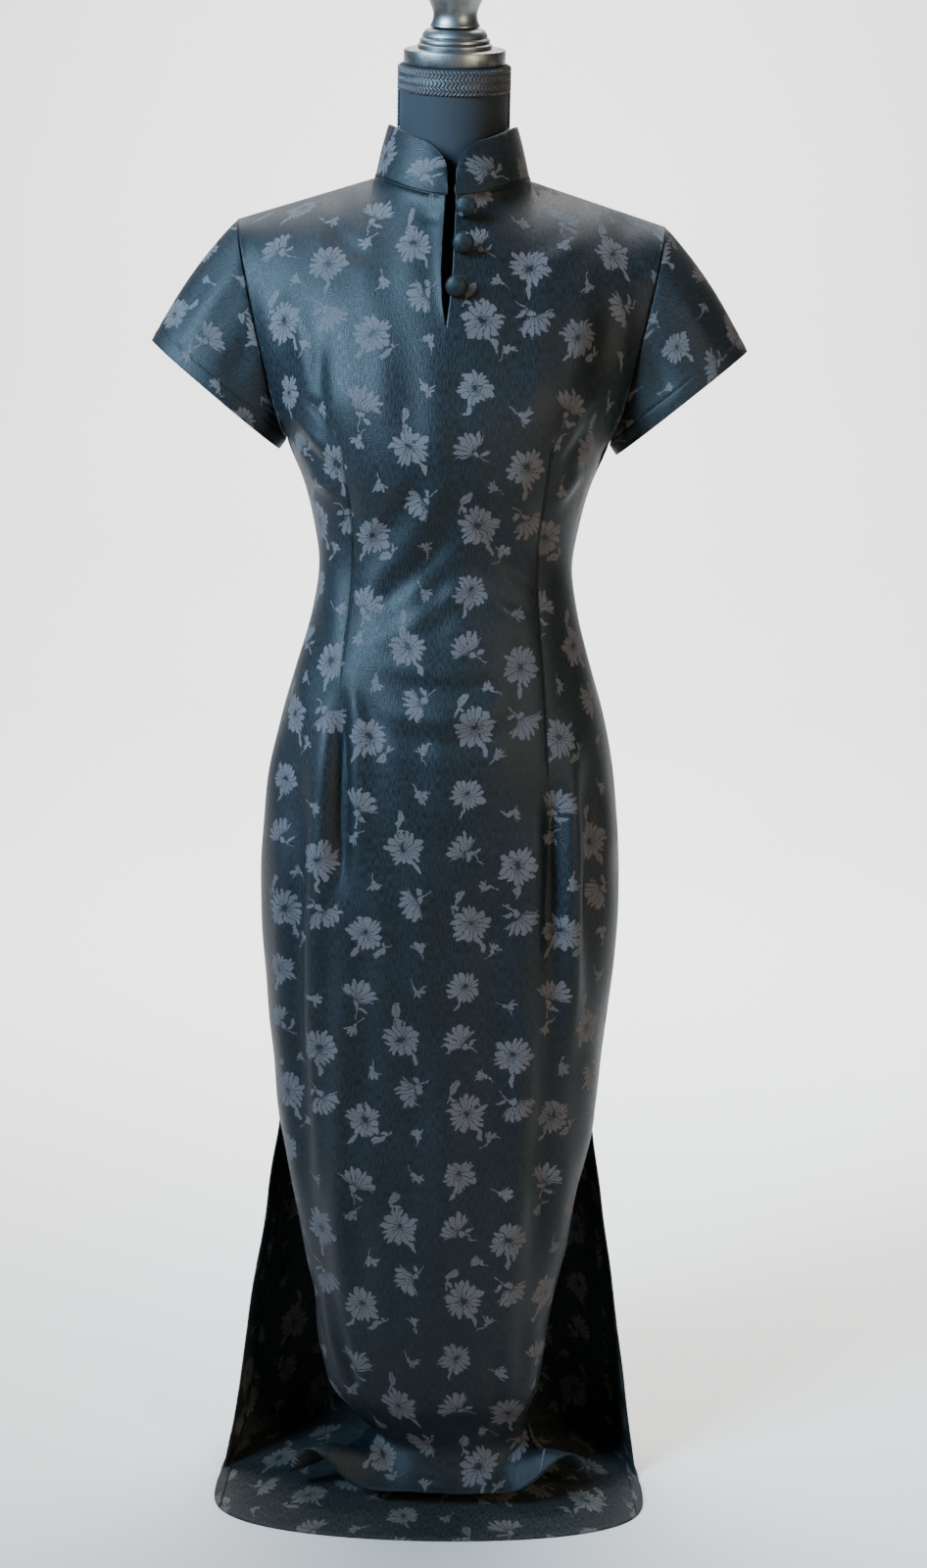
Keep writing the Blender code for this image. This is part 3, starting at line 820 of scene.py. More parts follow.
@dataclass(frozen=True)
class Metal:
    """A metal with turning marks, cloudy tarnish and a few dull spots."""

    name: str
    color: Tint
    tarnish: Tint
    roughness: float
    metallic: float = 1.0
    marks: float = 900.0

    def build(self) -> bpy.types.Material:
        """Make the material.

        Returns:
            The material.
        """
        material, wire, shader = new_material(self.name)
        place = wire.own_place()
        clouds = wire.noise(place, 38.0, 4.0, 0.6)
        marks = wire.noise(wire.scaled(place, (30.0, 30.0, self.marks)), 1.0, 2.0)
        spots = wire.noise(place, 240.0, 3.0, 0.7)
        stained = wire.mul(wire.step(clouds, 0.40, 0.68), 0.75)
        color = wire.mix(stained, self.color, self.tarnish)
        wire.feed(shader.inputs["Base Color"], wire.mix(wire.mul(wire.step(spots, 0.60, 0.75), 0.5), color,
                                                       self.tarnish))
        rough = wire.affine(clouds, 0.22, self.roughness - 0.08)
        wire.feed(shader.inputs["Roughness"], wire.affine(marks, 0.10, rough))
        shader.inputs["Metallic"].default_value = self.metallic
        wire.feed(shader.inputs["Normal"], wire.bump(wire.add(marks, spots), 0.0001, 0.5))
        return material


@dataclass(frozen=True)
class Plain:
    """The studio floor: a pale matt surface with a breath of unevenness."""

    name: str = "pale_floor"
    color: Tint = (0.70, 0.70, 0.695)

    def build(self) -> bpy.types.Material:
        """Make the material.

        Returns:
            The material.
        """
        material, wire, shader = new_material(self.name)
        place = wire.own_place()
        cloudy = wire.noise(place, 3.0, 2.0)
        darker = shade(self.color, 0.97)
        wire.feed(shader.inputs["Base Color"], wire.mix(cloudy, self.color, darker))
        shader.inputs["Roughness"].default_value = 0.9
        return material


@dataclass
class Finishes:
    """Every finish of the dress and its form, built once."""

    def __post_init__(self) -> None:
        """Build the design and the materials."""
        design = design_group()
        self.satin = FiguredSatin().build(design)
        # The wrong side's ground and figure are lighter than the right side's: partly the reverse face's own
        # colour, and partly painted light that stands in for light falling on the inside of the back panel.
        self.wrong_side = FiguredSatin(
            name="figured_satin_inside", ground=(0.012, 0.015, 0.016),
            ground_light=(0.034, 0.040, 0.041),
            figure=(0.120, 0.114, 0.106), ground_roughness=0.60, figure_roughness=0.80,
            specular=0.15, figure_share=0.9).build(design)
        self.jersey = Knit().build()
        self.gimp = Cord().build()
        self.pewter = Metal("aged_pewter", (0.23, 0.235, 0.24), (0.06, 0.058, 0.052), 0.36).build()
        self.steel = Metal("brushed_steel", (0.56, 0.56, 0.57), (0.40, 0.40, 0.41), 0.24).build()
        self.paint = Metal("painted_iron", (0.016, 0.016, 0.018), (0.028, 0.028, 0.030), 0.45,
                           metallic=0.0, marks=200.0).build()


# ---- The dress's block: its sizes at each level ----
class Facing(Enum):
    """Which way a body panel faces."""

    FRONT = 1
    BACK = -1


@dataclass(frozen=True)
class Level:
    """The fitted body at one height: the half width, and the depth of each panel."""

    height: float
    half_width: float
    front: float
    back: float


@dataclass(frozen=True)
class Section:
    """A row of the skirt below the slits. sway moves it sideways and hump lifts it on both sides."""

    height: float
    half_width: float
    centre_y: float
    edge_y: float
    power: float
    sway: float = 0.0
    hump: float = 0.0


# A fold fades over this share of its length at each end, and has a weaker bell on each side
END_SHARE = 0.35
SIDE_SHARE = 0.33
SIDE_PLACE = 1.7


class Fold:
    """A soft ridge (depth above 0) or trough (below 0) along places given as x and z on a panel."""

    def __init__(self, width: float, depth: float, *path: tuple[float, float]) -> None:
        """Keep the sizes in metres. They are given in millimetres."""
        self.width, self.depth, self.path = width / 1000, depth / 1000, np.array(path) / 1000

    def lift(self, x: Array, z: Array) -> Array:
        """How far this fold moves each place outwards.

        The height across it is a bell less a third of two wider bells beside it, and it fades as a
        smooth step over the first and the last part of its length.

        Args:
            x: sideways places.
            z: heights.

        Returns:
            Lifts, in the places' shape.
        """
        line = smooth_rows(self.path[:, None, :], 13)[:, 0]
        start, way = line[:-1], np.diff(line, axis=0)
        length = np.linalg.norm(way, axis=1)
        begin = np.concatenate([[0.0], np.cumsum(length)])
        nearest = np.full(x.shape, 1e9)
        along = np.zeros(x.shape)
        for point, step, size, before in zip(start, way, length, begin):
            share = np.clip(((x - point[0]) * step[0] + (z - point[1]) * step[1]) / size ** 2, 0, 1)
            distance = np.hypot(x - point[0] - share * step[0], z - point[1] - share * step[1])
            closer = distance < nearest
            nearest = np.where(closer, distance, nearest)
            along = np.where(closer, before + share * size, along)
        place = along / begin[-1]
        fade = eased(ramp(place, 0.0, END_SHARE) * ramp(1 - place, 0.0, END_SHARE))
        across = nearest / self.width
        return self.depth * fade * (bell(across, 1.0) - SIDE_SHARE * bell(across - SIDE_PLACE, 1.0))


@dataclass(frozen=True)
class Dart:
    """A fish-eye dart on each side: its line as heights and distances from the middle, and its intake.

    bottom holds the lower ends of the darts at -X and at +X.
    """

    heights: tuple[float, ...]
    places: tuple[float, ...]
    top: float
    waist: float
    bottom: tuple[float, float]
    intake: float

    def place(self, height: Array) -> Array:
        """Distance of the line from the middle at each height."""
        return np.interp(height, self.heights, self.places)

    def taken(self, height: Array, side: int) -> Array:
        """Cloth taken in at each height on one side: nothing at its ends and all at the waist."""
        rise = np.interp(height, (self.bottom[side], self.waist, self.top), (0.0, 1.0, 0.0))
        return self.intake * rise


@dataclass(frozen=True)
class Block:
    """The sizes that every piece of cloth is drawn from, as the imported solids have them."""

    seam: float = 0.0003
    power: float = 0.87
    hump_start: float = 0.30
    underarm: tuple[float, float] = (0.1495, 1.014)
    shoulder: tuple[float, float] = (0.195, 1.210)
    armhole_front: float = 0.045
    armhole_back: float = 0.050
    neck_x: float = 0.071
    neck_side_z: float = 1.248
    neck_front: tuple[float, float] = (-0.075, 1.223)
    neck_back: tuple[float, float] = (0.067, 1.260)
    chest: tuple[tuple[float, float], ...] = (
        (1.014, 0.128), (1.070, 0.124), (1.120, 0.112), (1.170, 0.096), (1.223, 0.075))
    upper_back: tuple[tuple[float, float], ...] = (
        (1.014, 0.100), (1.080, 0.105), (1.140, 0.104), (1.200, 0.092), (1.260, 0.067))
    steps: tuple[float, ...] = (1.0, 0.94, 0.86, 0.76, 0.65, 0.54, 0.43, 0.32, 0.21, 0.10)
    levels: tuple[Level, ...] = (
        Level(1.014, 0.1495, 0.128, 0.100), Level(0.970, 0.1320, 0.118, 0.096),
        Level(0.935, 0.1235, 0.102, 0.090), Level(0.900, 0.1185, 0.093, 0.088),
        Level(0.860, 0.1240, 0.095, 0.094), Level(0.822, 0.1335, 0.102, 0.104),
        Level(0.767, 0.1505, 0.109, 0.118), Level(0.720, 0.1610, 0.112, 0.127),
        Level(0.663, 0.1680, 0.110, 0.131), Level(0.615, 0.1715, 0.108, 0.130),
        Level(0.557, 0.1710, 0.104, 0.122), Level(0.488, 0.1665, 0.100, 0.112),
        Level(0.429, 0.1605, 0.098, 0.106), Level(0.371, 0.1545, 0.098, 0.103))
    front_skirt: tuple[Section, ...] = (
        Section(0.330, 0.1460, -0.099, -0.010, 0.82), Section(0.280, 0.1350, -0.101, -0.018, 0.76),
        Section(0.200, 0.1200, -0.103, -0.026, 0.70), Section(0.140, 0.1110, -0.101, -0.028, 0.66),
        Section(0.100, 0.1020, -0.096, -0.026, 0.64, 0.003),
        Section(0.072, 0.0860, -0.088, -0.020, 0.66, 0.010),
        Section(0.050, 0.0770, -0.084, -0.020, 0.70, 0.020),
        Section(0.036, 0.0900, -0.088, -0.034, 0.70, 0.018, 0.010),
        Section(0.026, 0.1200, -0.096, -0.052, 0.72, 0.014, 0.028),
        Section(0.0195, 0.1480, -0.104, -0.066, 0.74, 0.010, 0.036))
    back_skirt: tuple[Section, ...] = (
        Section(0.280, 0.1660, 0.104, -0.003, 0.84), Section(0.200, 0.1770, 0.106, -0.008, 0.80),
        Section(0.120, 0.1880, 0.107, -0.015, 0.76), Section(0.060, 0.1960, 0.106, -0.021, 0.72),
        Section(0.025, 0.2020, 0.102, -0.026, 0.70), Section(0.007, 0.2050, 0.094, -0.030, 0.70),
        Section(0.000, 0.2065, 0.083, -0.034, 0.70), Section(0.000, 0.2075, -0.010, -0.042, 0.60),
        Section(0.000, 0.2085, -0.085, -0.050, 0.60), Section(0.000, 0.2090, -0.155, -0.060, 0.60))

    def armhole(self, angle: Array) -> Array:
        """The armhole line at +X: 0 is the shoulder, and pi or -pi is under the arm.

        Its height falls as the cosine, its reach forwards and backwards goes as the sine, and it
        comes in as a power of the height.

        Args:
            angle: angles.

        Returns:
            The points.
        """
        rise = (1 + np.cos(angle)) / 2
        height = self.underarm[1] + (self.shoulder[1] - self.underarm[1]) * rise
        out = self.underarm[0] + (self.shoulder[0] - self.underarm[0]) * rise ** 0.85
        reach = np.where(np.sin(angle) >= 0, self.armhole_front, self.armhole_back)
        return np.stack([out, -reach * np.sin(angle), height], axis=-1)

    def section_row(self, section: Section, across: Array) -> Array:
        """A row of the body: the sine across, and a power of the cosine for its depth.

        Args:
            section: the sizes of the row.
            across: places from -1 to 1.

        Returns:
            The points.
        """
        turn = across * math.pi / 2
        x = section.half_width * np.sin(turn) + section.sway
        y = section.edge_y + (section.centre_y - section.edge_y) * np.abs(np.cos(turn)) ** section.power
        beside = np.clip((np.abs(across) - self.hump_start) / (1 - self.hump_start), 0, 1)
        z = section.height + section.hump * np.sin(math.pi * beside) ** 2
        return np.stack([x, y, z], axis=-1)

    def top_row(self, across: Array, facing: Facing) -> Array:
        """The neckline as a quarter of an ellipse on each side, and then the straight shoulder.

        Args:
            across: places from -1 to 1.
            facing: front or back.

        Returns:
            The points.
        """
        neck_y, neck_z = self.neck_front if facing is Facing.FRONT else self.neck_back
        share = self.neck_x / self.shoulder[0]
        reach = np.abs(across)
        turn = np.clip(reach / share, 0, 1) * math.pi / 2
        along = np.clip((reach - share) / (1 - share), 0, 1)
        side_y = -facing.value * self.seam / 2
        x = self.neck_x * np.sin(turn) + (self.shoulder[0] - self.neck_x) * along
        y = side_y + (neck_y - side_y) * np.cos(turn)
        z = (self.neck_side_z + (neck_z - self.neck_side_z) * np.cos(turn) ** 2
             + (self.shoulder[1] - self.neck_side_z) * along)
        return np.stack([np.sign(across) * x, y, z], axis=-1)

    def upper_row(self, step: float, across: Array, facing: Facing) -> Array:
        """A row between the underarm (step 0) and the neck and shoulder (step 1).

        Args:
            step: place from 0 to 1.
            across: places from -1 to 1.
            facing: front or back.

        Returns:
            The points.
        """
        centre = np.array(self.chest if facing is Facing.FRONT else self.upper_back)
        edge = self.armhole(np.array(facing.value * math.pi * (1 - step)))
        rise = (1 - math.cos(math.pi * step)) / 2
        height = self.underarm[1] + (centre[-1, 0] - self.underarm[1]) * rise
        depth = np.interp(height, centre[:, 0], centre[:, 1])
        turn = across * math.pi / 2
        arch = np.abs(np.cos(turn)) ** (self.power + (1 - self.power) * step)
        straight = step ** 0.7
        x = edge[0] * ((1 - straight) * np.sin(turn) + straight * across)
        y = edge[1] + (-facing.value * depth - edge[1]) * arch
        z = edge[2] + (height - edge[2]) * np.cos(turn) ** 2
        return np.stack([x, y, z], axis=-1)

    def panel_rows(self, columns: Callable[[float, float, float], Array], facing: Facing) -> Array:
        """All the named rows of a panel, from the neck to the hem.

        Args:
            columns: gives the places across for a row's height, half width and straightness.
            facing: front or back.

        Returns:
            rows x columns x 3 points.
        """
        rows = []
        for step in self.steps:
            rise = (1 - math.cos(math.pi * step)) / 2
            height = self.underarm[1] + (self.shoulder[1] - self.underarm[1]) * rise
            half = float(self.armhole(np.array(math.pi * (1 - step)))[0])
            across = columns(height, half, step ** 0.7)
            change = self.top_row(across, facing) - self.upper_row(1.0, across, facing)
            rows.append(self.upper_row(step, across, facing) + step ** 4 * change)
        for level in self.levels:
            depth = -level.front if facing is Facing.FRONT else level.back
            edge = -facing.value * self.seam / 2
            section = Section(level.height, level.half_width, depth, edge, self.power)
            rows.append(self.section_row(section, columns(level.height, level.half_width, 0.0)))
        for section in self.front_skirt if facing is Facing.FRONT else self.back_skirt:
            rows.append(self.section_row(section, columns(section.height, section.half_width, 0.0)))
        return np.array(rows)


FRONT_DART = Dart((0.0, 0.10, 0.37, 0.66, 0.72, 0.80, 0.86, 0.90, 0.93, 0.985, 1.02, 1.05, 1.21),
                  (0.055, 0.070, 0.088, 0.098, 0.098, 0.093, 0.087, 0.085, 0.0855, 0.091, 0.098, 0.104,
                   0.118),
                  1.040, 0.900, (0.790, 0.705), 0.024)
BACK_DART = Dart((0.0, 0.10, 0.37, 0.72, 0.90, 1.05, 1.21),
                 (0.100, 0.095, 0.085, 0.080, 0.070, 0.078, 0.105), 1.060, 0.900, (0.740, 0.740), 0.026)

# Folds of the front: what the darts, the waist and the standing form pull in the cloth
FRONT_FOLDS = (
    Fold(8, -9, (-92, 806), (-90, 700), (-90, 590)),
    Fold(5, -2.6, (-78, 792), (-60, 760), (-50, 735)),
    Fold(11, 6.2, (-108, 800), (-112, 700), (-115, 560), (-110, 380)),
    Fold(8.5, -5, (-130, 700), (-134, 520), (-126, 360), (-112, 220)),
    Fold(11, 3.4, (-90, 560), (-92, 420), (-88, 280), (-80, 160)),
    Fold(12, -2.8, (-70, 620), (-68, 480), (-64, 330)),
    Fold(4.8, -2.4, (-130, 1052), (-110, 1030), (-100, 1012)),
    Fold(5, 2.6, (-137, 1035), (-118, 1014), (-103, 998)),
    Fold(4.6, -2.4, (-134, 1012), (-115, 993), (-98, 984)),
    Fold(5.2, 2.2, (-128, 985), (-112, 972), (-95, 962)),
    Fold(7, -2.2, (-118, 1100), (-112, 1060), (-108, 1020)),
    Fold(8.5, 2.6, (-82, 872), (-40, 912), (10, 985)),
    Fold(7.5, -2.4, (-80, 850), (-36, 885), (24, 950)),
    Fold(6.5, -2.2, (-80, 905), (-50, 935), (-12, 990)),
    Fold(8, 2, (-76, 826), (-28, 850), (36, 900)),
    Fold(8, -2.6, (-70, 802), (10, 792), (78, 806)),
    Fold(7.5, 2.4, (-66, 776), (0, 766), (70, 778)),
    Fold(8.5, -2.2, (-60, 752), (10, 744), (82, 760)),
    Fold(7, -2, (84, 880), (60, 902), (30, 945)),
    Fold(6.5, 1.8, (86, 846), (55, 862), (12, 900)),
    Fold(5.5, -2.4, (128, 1030), (112, 1006), (99, 985)),
    Fold(5.5, 2.2, (124, 992), (108, 972), (94, 955)),
    Fold(6, 1.6, (130, 1060), (116, 1040), (106, 1018)),
    Fold(8.5, -8.5, (100, 715), (103, 660), (104, 590), (102, 520)),
    Fold(9.5, 6, (114, 800), (121, 680), (126, 540), (122, 380)),
    Fold(8.5, -3.2, (134, 760), (141, 640), (140, 500)),
    Fold(10, -3.4, (100, 560), (104, 430), (104, 310), (94, 190)),
    Fold(12, 3.4, (80, 620), (82, 470), (78, 300), (70, 150)),
    Fold(15, -2, (46, 640), (52, 480), (50, 300)),
    Fold(18, -2, (-30, 560), (-26, 400), (-30, 240)),
    Fold(16, 1.8, (8, 500), (12, 330), (10, 150)),
    Fold(6, -4.5, (-92, 185), (-74, 120), (-50, 62)),
    Fold(7, 3, (-108, 230), (-100, 180), (-82, 130)),
    Fold(8, 3, (100, 200), (96, 130), (82, 70)),
    Fold(9, -3, (60, 180), (64, 110), (60, 60)),
    Fold(3, -1.4, (-24, 1206), (-14, 1203), (-4, 1204)),
    Fold(10, 2, (-150, 1140), (-128, 1100), (-118, 1050)),
    Fold(11, -2, (154, 1130), (134, 1092), (118, 1050)),
    Fold(8, -1.4, (-112, 1205), (-90, 1180), (-60, 1165)),
    Fold(9, 1.4, (118, 1200), (100, 1176), (70, 1160)),
)
BACK_FOLDS = (
    Fold(9, -3, (-70, 870), (-20, 885), (40, 872)),
    Fold(8, 2.4, (-50, 905), (10, 915), (66, 900)),
    Fold(8.5, 2.2, (-62, 840), (4, 850), (58, 836)),
    Fold(6.5, -2.4, (118, 950), (96, 925), (78, 890)),
    Fold(7, 2.4, (-120, 960), (-98, 930), (-80, 900)),
    Fold(11, -2.6, (-150, 1120), (-120, 1090), (-90, 1030)),
    Fold(12, 2.6, (152, 1130), (126, 1084), (94, 1040)),
    Fold(12, -4.4, (-80, 730), (-86, 600), (-84, 460)),
    Fold(11, -4, (82, 735), (86, 620), (92, 480)),
    Fold(17, 3.4, (-30, 640), (-34, 480), (-40, 300)),
    Fold(16, -3.4, (34, 600), (40, 440), (52, 240)),
    Fold(14, 4.2, (-110, 500), (-118, 340), (-130, 150)),
    Fold(15, 4.4, (112, 480), (124, 320), (140, 130)),
    Fold(13, -4, (-70, 420), (-80, 260), (-94, 100)),
    Fold(18, 3.4, (0, 420), (4, 240), (12, 90)),
    Fold(12, -4, (78, 340), (92, 200), (108, 70)),
    Fold(10, -3.4, (-150, 330), (-164, 200), (-176, 80)),
    Fold(10, -3.4, (156, 300), (168, 190), (180, 70)),
)


def gentle_waves(x: Array, z: Array, seed: int, amount: float) -> Array:
    """Slight unevenness of hung cloth: a sum of long sine waves in seeded directions.

    Args:
        x: places across.
        z: places up.
        seed: of the directions and phases.
        amount: height of each wave.

    Returns:
        Heights, in the places' shape.
    """
    random = np.random.default_rng(seed)
    total = np.zeros(x.shape)
    for _ in range(14):
        turn = random.uniform(-0.5, 0.5) + (math.pi / 2 if random.random() < 0.25 else 0.0)
        length = random.uniform(0.035, 0.13)
        phase = random.uniform(0, 2 * math.pi)
        total += np.sin((x * math.cos(turn) + z * math.sin(turn) * 0.5) * 2 * math.pi / length + phase)
    return total * amount


# ---- Pieces of cloth ----
def corner_uv(cut: Array) -> Array:
    """Place in the cut of every face corner of a grid.

    Args:
        cut: rows x columns x 2 places, with the first column repeated at the end on a closed grid.

    Returns:
        faces x 4 x 2 places, in the order of grid_faces.
    """
    corners = np.stack([cut[:-1, :-1], cut[1:, :-1], cut[1:, 1:], cut[:-1, 1:]], axis=2)
    return corners.reshape(-1, 4, 2)


def cloth_piece(name: str, grid: Array, faces: Array, finishes: Finishes, uv: Array, mark: Array,
                wall: float) -> bpy.types.Object:
    """Put a sheet of the dress's satin into the scene, with its wrong side and its thickness.

    Args:
        name: the piece's name.
        grid: its points.
        faces: its quads.
        finishes: the finishes.
        uv: a place in the cut for each face corner.
        mark: the seam mark of each point; on the buttons it is a ring of painted shade under the rim.
        wall: its thickness, inwards where it is above 0.

    Returns:
        The piece.
    """
    piece = add_piece(name, grid, faces, (finishes.satin, finishes.wrong_side), uv, {"seam": mark})
    thicken(piece, wall)
    return piece


@dataclass
class BodyPanel:
    """The front or the back of the dress, cut in one from the neck to the hem, with two long darts."""

    name: str
    facing: Facing
    block: Block
    dart: Dart
    folds: tuple[Fold, ...]
    row_count: int = 270
    wall: float = 0.0013
    slit_top: float = 0.371
    slit_tip: float = 1.108
    slit_heights: tuple[float, ...] = (1.108, 1.128, 1.155, 1.190, 1.215, 1.240)
    slit_left: tuple[float, ...] = (-0.0022, -0.0060, -0.0078, -0.0070, -0.0054, -0.0046)
    slit_right: tuple[float, ...] = (-0.0022, 0.0006, 0.0026, 0.0036, 0.0042, 0.0044)
    bust: tuple[float, float] = (0.080, 1.046)
    bust_spread: tuple[float, float] = (0.042, 0.040)
    bust_lift: float = 0.0050
    wave: float = 0.00035
    dart_end: float = 0.03
    dart_groove: tuple[float, float] = (0.0011, 0.0016)
    dart_hollow: tuple[float, float] = (0.0016, 0.010)
    stitch: float = 0.0009
    held_width: float = 0.014
    most_lift: float = 0.0085
    floor_snap: float = 0.0008
    floor_ease: float = 0.05
    facing_width: int = 14
    facing_gap: float = 0.0005

    def half_columns(self) -> tuple[Array, Array]:
        """Places across one half, as shares of its three stretches, and the stretch of each.

        The columns are closest at the middle line, on both sides of the dart and at the edge.

        Returns:
            Shares, and the stretch of each.
        """
        def crowded(count: int) -> Array:
            """Places over one stretch, closer at its two ends."""
            part = np.linspace(0, 1, count + 1)[1:]
            return 0.25 * part + 0.75 * (0.5 - 0.5 * np.cos(math.pi * part))
        shares = [crowded(16), crowded(20), crowded(34)]
        stretch = np.concatenate([np.full(len(part), index) for index, part in enumerate(shares)])
        return np.concatenate(shares), stretch

    def columns(self, height: float, half_width: float, straight: float) -> Array:
        """Places across a row, with one column on the dart line and one at the side of the neck.

        Args:
            height: the row's height.
            half_width: its half width.
            straight: 0 where the row goes as the sine, 1 where it is straight.

        Returns:
            Places from -1 to 1, in anticlockwise order.
        """
        share, stretch = self.half_columns()
        reach = min(float(self.dart.place(np.array(height))) / half_width, 0.95)
        line = (1 - straight) * math.asin(reach) * 2 / math.pi + straight * reach
        neck = self.block.neck_x / self.block.shoulder[0]
        stops = np.array([0.0, neck, min(max(line, neck + 0.05), 0.80), 1.0])
        half = stops[stretch] + share * (stops[stretch + 1] - stops[stretch])
        whole = np.concatenate([-half[::-1], [0.0], half])
        return whole * self.facing.value

    def evened(self, grid: Array, rounds: int = 160) -> Array:
        """Even out the chest above the bust, moving points only along their normals.

        Each round moves a point half way to the mean of its four neighbours, as far as that lies
        along the normal. The neckline, the armholes and everything below the bust stay.

        Args:
            grid: rows x columns x 3 points.
            rounds: how many times.

        Returns:
            The evened grid.
        """
        from_top = np.clip(np.arange(grid.shape[0]) / 5, 0, 1)[:, None]
        column = np.arange(grid.shape[1])
        from_edge = np.clip(np.minimum(column, column[::-1]) / 8, 0, 1)[None, :]
        share = 0.5 * from_top * from_edge * np.clip((grid[..., 2] - 0.972) / 0.07, 0, 1)
        for _ in range(rounds):
            padded = np.pad(grid, ((1, 1), (1, 1), (0, 0)), mode="edge")
            mean = (padded[2:, 1:-1] + padded[:-2, 1:-1] + padded[1:-1, 2:] + padded[1:-1, :-2]) / 4
            normals = grid_normals(grid)
            along = np.sum((mean - grid) * normals, axis=-1)
            grid = grid + normals * (share * along)[..., None]
        return grid

    def build_grid(self) -> None:
        """Work out the grid, its cut, its marks and its lifted folds."""
        grid = smooth_rows(self.block.panel_rows(self.columns, self.facing), self.row_count)
        grid[..., 2] = np.maximum(grid[..., 2], 0.0)
        if self.facing is Facing.BACK:
            grid[..., 2] = np.where(grid[..., 2] < self.floor_snap, 0.0, grid[..., 2])
        self.middle = grid.shape[1] // 2
        grid = self.evened(grid)
        waist = int(np.argmin(np.abs(grid[:, self.middle, 2] - self.dart.waist)))
        self.cut = cut_uv(grid, self.middle, waist)
        _, stretch = self.half_columns()
        offset = int(np.count_nonzero(stretch < 2))
        self.dart_columns = (self.middle - offset, self.middle + offset)
        across = self.cut[..., 0]
        x, z = grid[..., 0], grid[..., 2]
        lift = gentle_waves(x, z, 5 + self.facing.value, self.wave)
        if self.facing is Facing.FRONT:
            for side in (-1, 1):
                lift += (self.bust_lift * bell(x - side * self.bust[0], self.bust_spread[0])
                         * bell(z - self.bust[1], self.bust_spread[1]))
        lift += sum(fold.lift(x, z) for fold in self.folds)
        mark = np.zeros_like(lift)
        for column in self.dart_columns:
            bottom = self.dart.bottom[int(grid[0, column, 0] > 0)]
            inside = (ramp(self.dart.top - z, 0.0, self.dart_end) * ramp(z - bottom, 0.0, self.dart_end))
            away = np.abs(across - across[:, column:column + 1])
            lift -= inside * (self.dart_groove[0] * np.exp(-away / self.dart_groove[1])
                              + self.dart_hollow[0] * bell(away, self.dart_hollow[1]))
            mark = np.maximum(mark, inside * bell(away, 0.0011))
        edge = np.minimum(np.abs(across - across[:, :1]), np.abs(across - across[:, -1:]))
        sewn = z > self.slit_top
        from_top = np.abs(self.cut[..., 1] - self.cut[:1, :, 1])
        hold = np.where(sewn, 1 - bell(edge, self.held_width), 1.0) * (1 - bell(from_top, self.held_width))
        mark = np.maximum(mark, bell(edge, self.stitch) * sewn)
        mark = np.maximum(mark, bell(from_top, self.stitch))
        if self.facing is Facing.BACK:
            hold = hold * eased(ramp(z, 0.0, self.floor_ease))
            mark = np.maximum(mark, 0.8 * bell(across, 0.0010) * (z > 0.0))
        total = np.clip(lift * hold, -self.most_lift, self.most_lift)
        self.grid = grid + grid_normals(grid) * total[..., None]
        self.mark = mark
        first_side = int(grid[0, 0, 0] > 0)
        self.taken = [self.dart.taken(z[:, self.middle], side) for side in (first_side, 1 - first_side)]

    def part_slit(self, vertices: Array, faces: Array, mark: Array) -> tuple[Array, Array, Array]:
        """Part the middle column above the slit's tip, and draw its two edges to the slit's outline.

        Args:
            vertices: the grid's points.
            faces: its quads, as indices.
            mark: the seam mark of each point.

        Returns:
            The same three, with the middle column's upper points doubled.
        """
        rows, columns = self.grid.shape[:2]
        points = vertices.reshape(rows, columns, 3).copy()
        z = points[..., 2]
        side = np.sign(np.arange(columns) - self.middle)[None, :]
        target = np.where(side <= 0, np.interp(z, self.slit_heights, self.slit_left),
                          np.interp(z, self.slit_heights, self.slit_right))
        open_share = np.clip((z - self.slit_tip + 0.02) / 0.02, 0, 1)
        fall = np.exp(-np.abs(points[..., 0]) / 0.011)
        points[..., 0] += target * fall * open_share
        above = z[:, self.middle] > self.slit_tip
        lip = np.exp(-np.abs(points[..., 0] - target) / 0.0022) * np.clip((z - self.slit_tip) / 0.02, 0, 1)
        points[..., 1] -= 0.0012 * lip
        right = points[above, self.middle].copy()
        right[:, 0] = np.interp(right[:, 2], self.slit_heights, self.slit_right)
        extra = rows * columns + np.arange(len(right))
        swap = np.arange(rows * columns + len(right))
        middle_index = (np.arange(rows) * columns + self.middle)[above]
        swap[middle_index] = extra
        quads = faces.reshape(rows - 1, columns - 1, 4)
        quads[:, self.middle:] = swap[quads[:, self.middle:]]
        all_marks = np.concatenate([mark.ravel(), mark[above, self.middle]])
        return np.concatenate([points.reshape(-1, 3), right]), quads.reshape(-1, 4), all_marks

    def build(self, finishes: Finishes) -> bpy.types.Object:
        """Build the panel and dress it.

        Args:
            finishes: the finishes.

        Returns:
            The piece.
        """
        self.build_grid()
        rows, columns = self.grid.shape[:2]
        faces = grid_faces(rows, columns, False)
        uv = corner_uv(self.cut).reshape(rows - 1, columns - 1, 4, 2)
        first, last = (np.stack([part[:-1], part[1:], part[1:], part[:-1]], axis=-1) for part in self.taken)
        way = np.sign(self.cut[waist_row(self.cut), -1, 0])
        uv[:, :self.dart_columns[0], :, 0] -= way * first[:, None, :]
        uv[:, self.dart_columns[1]:, :, 0] += way * last[:, None, :]
        vertices, mark = self.grid.reshape(-1, 3), self.mark
        if self.facing is Facing.FRONT:
            vertices, faces, mark = self.part_slit(vertices, faces, mark)
        return cloth_piece(self.name, vertices, faces, finishes, uv, mark, self.wall)

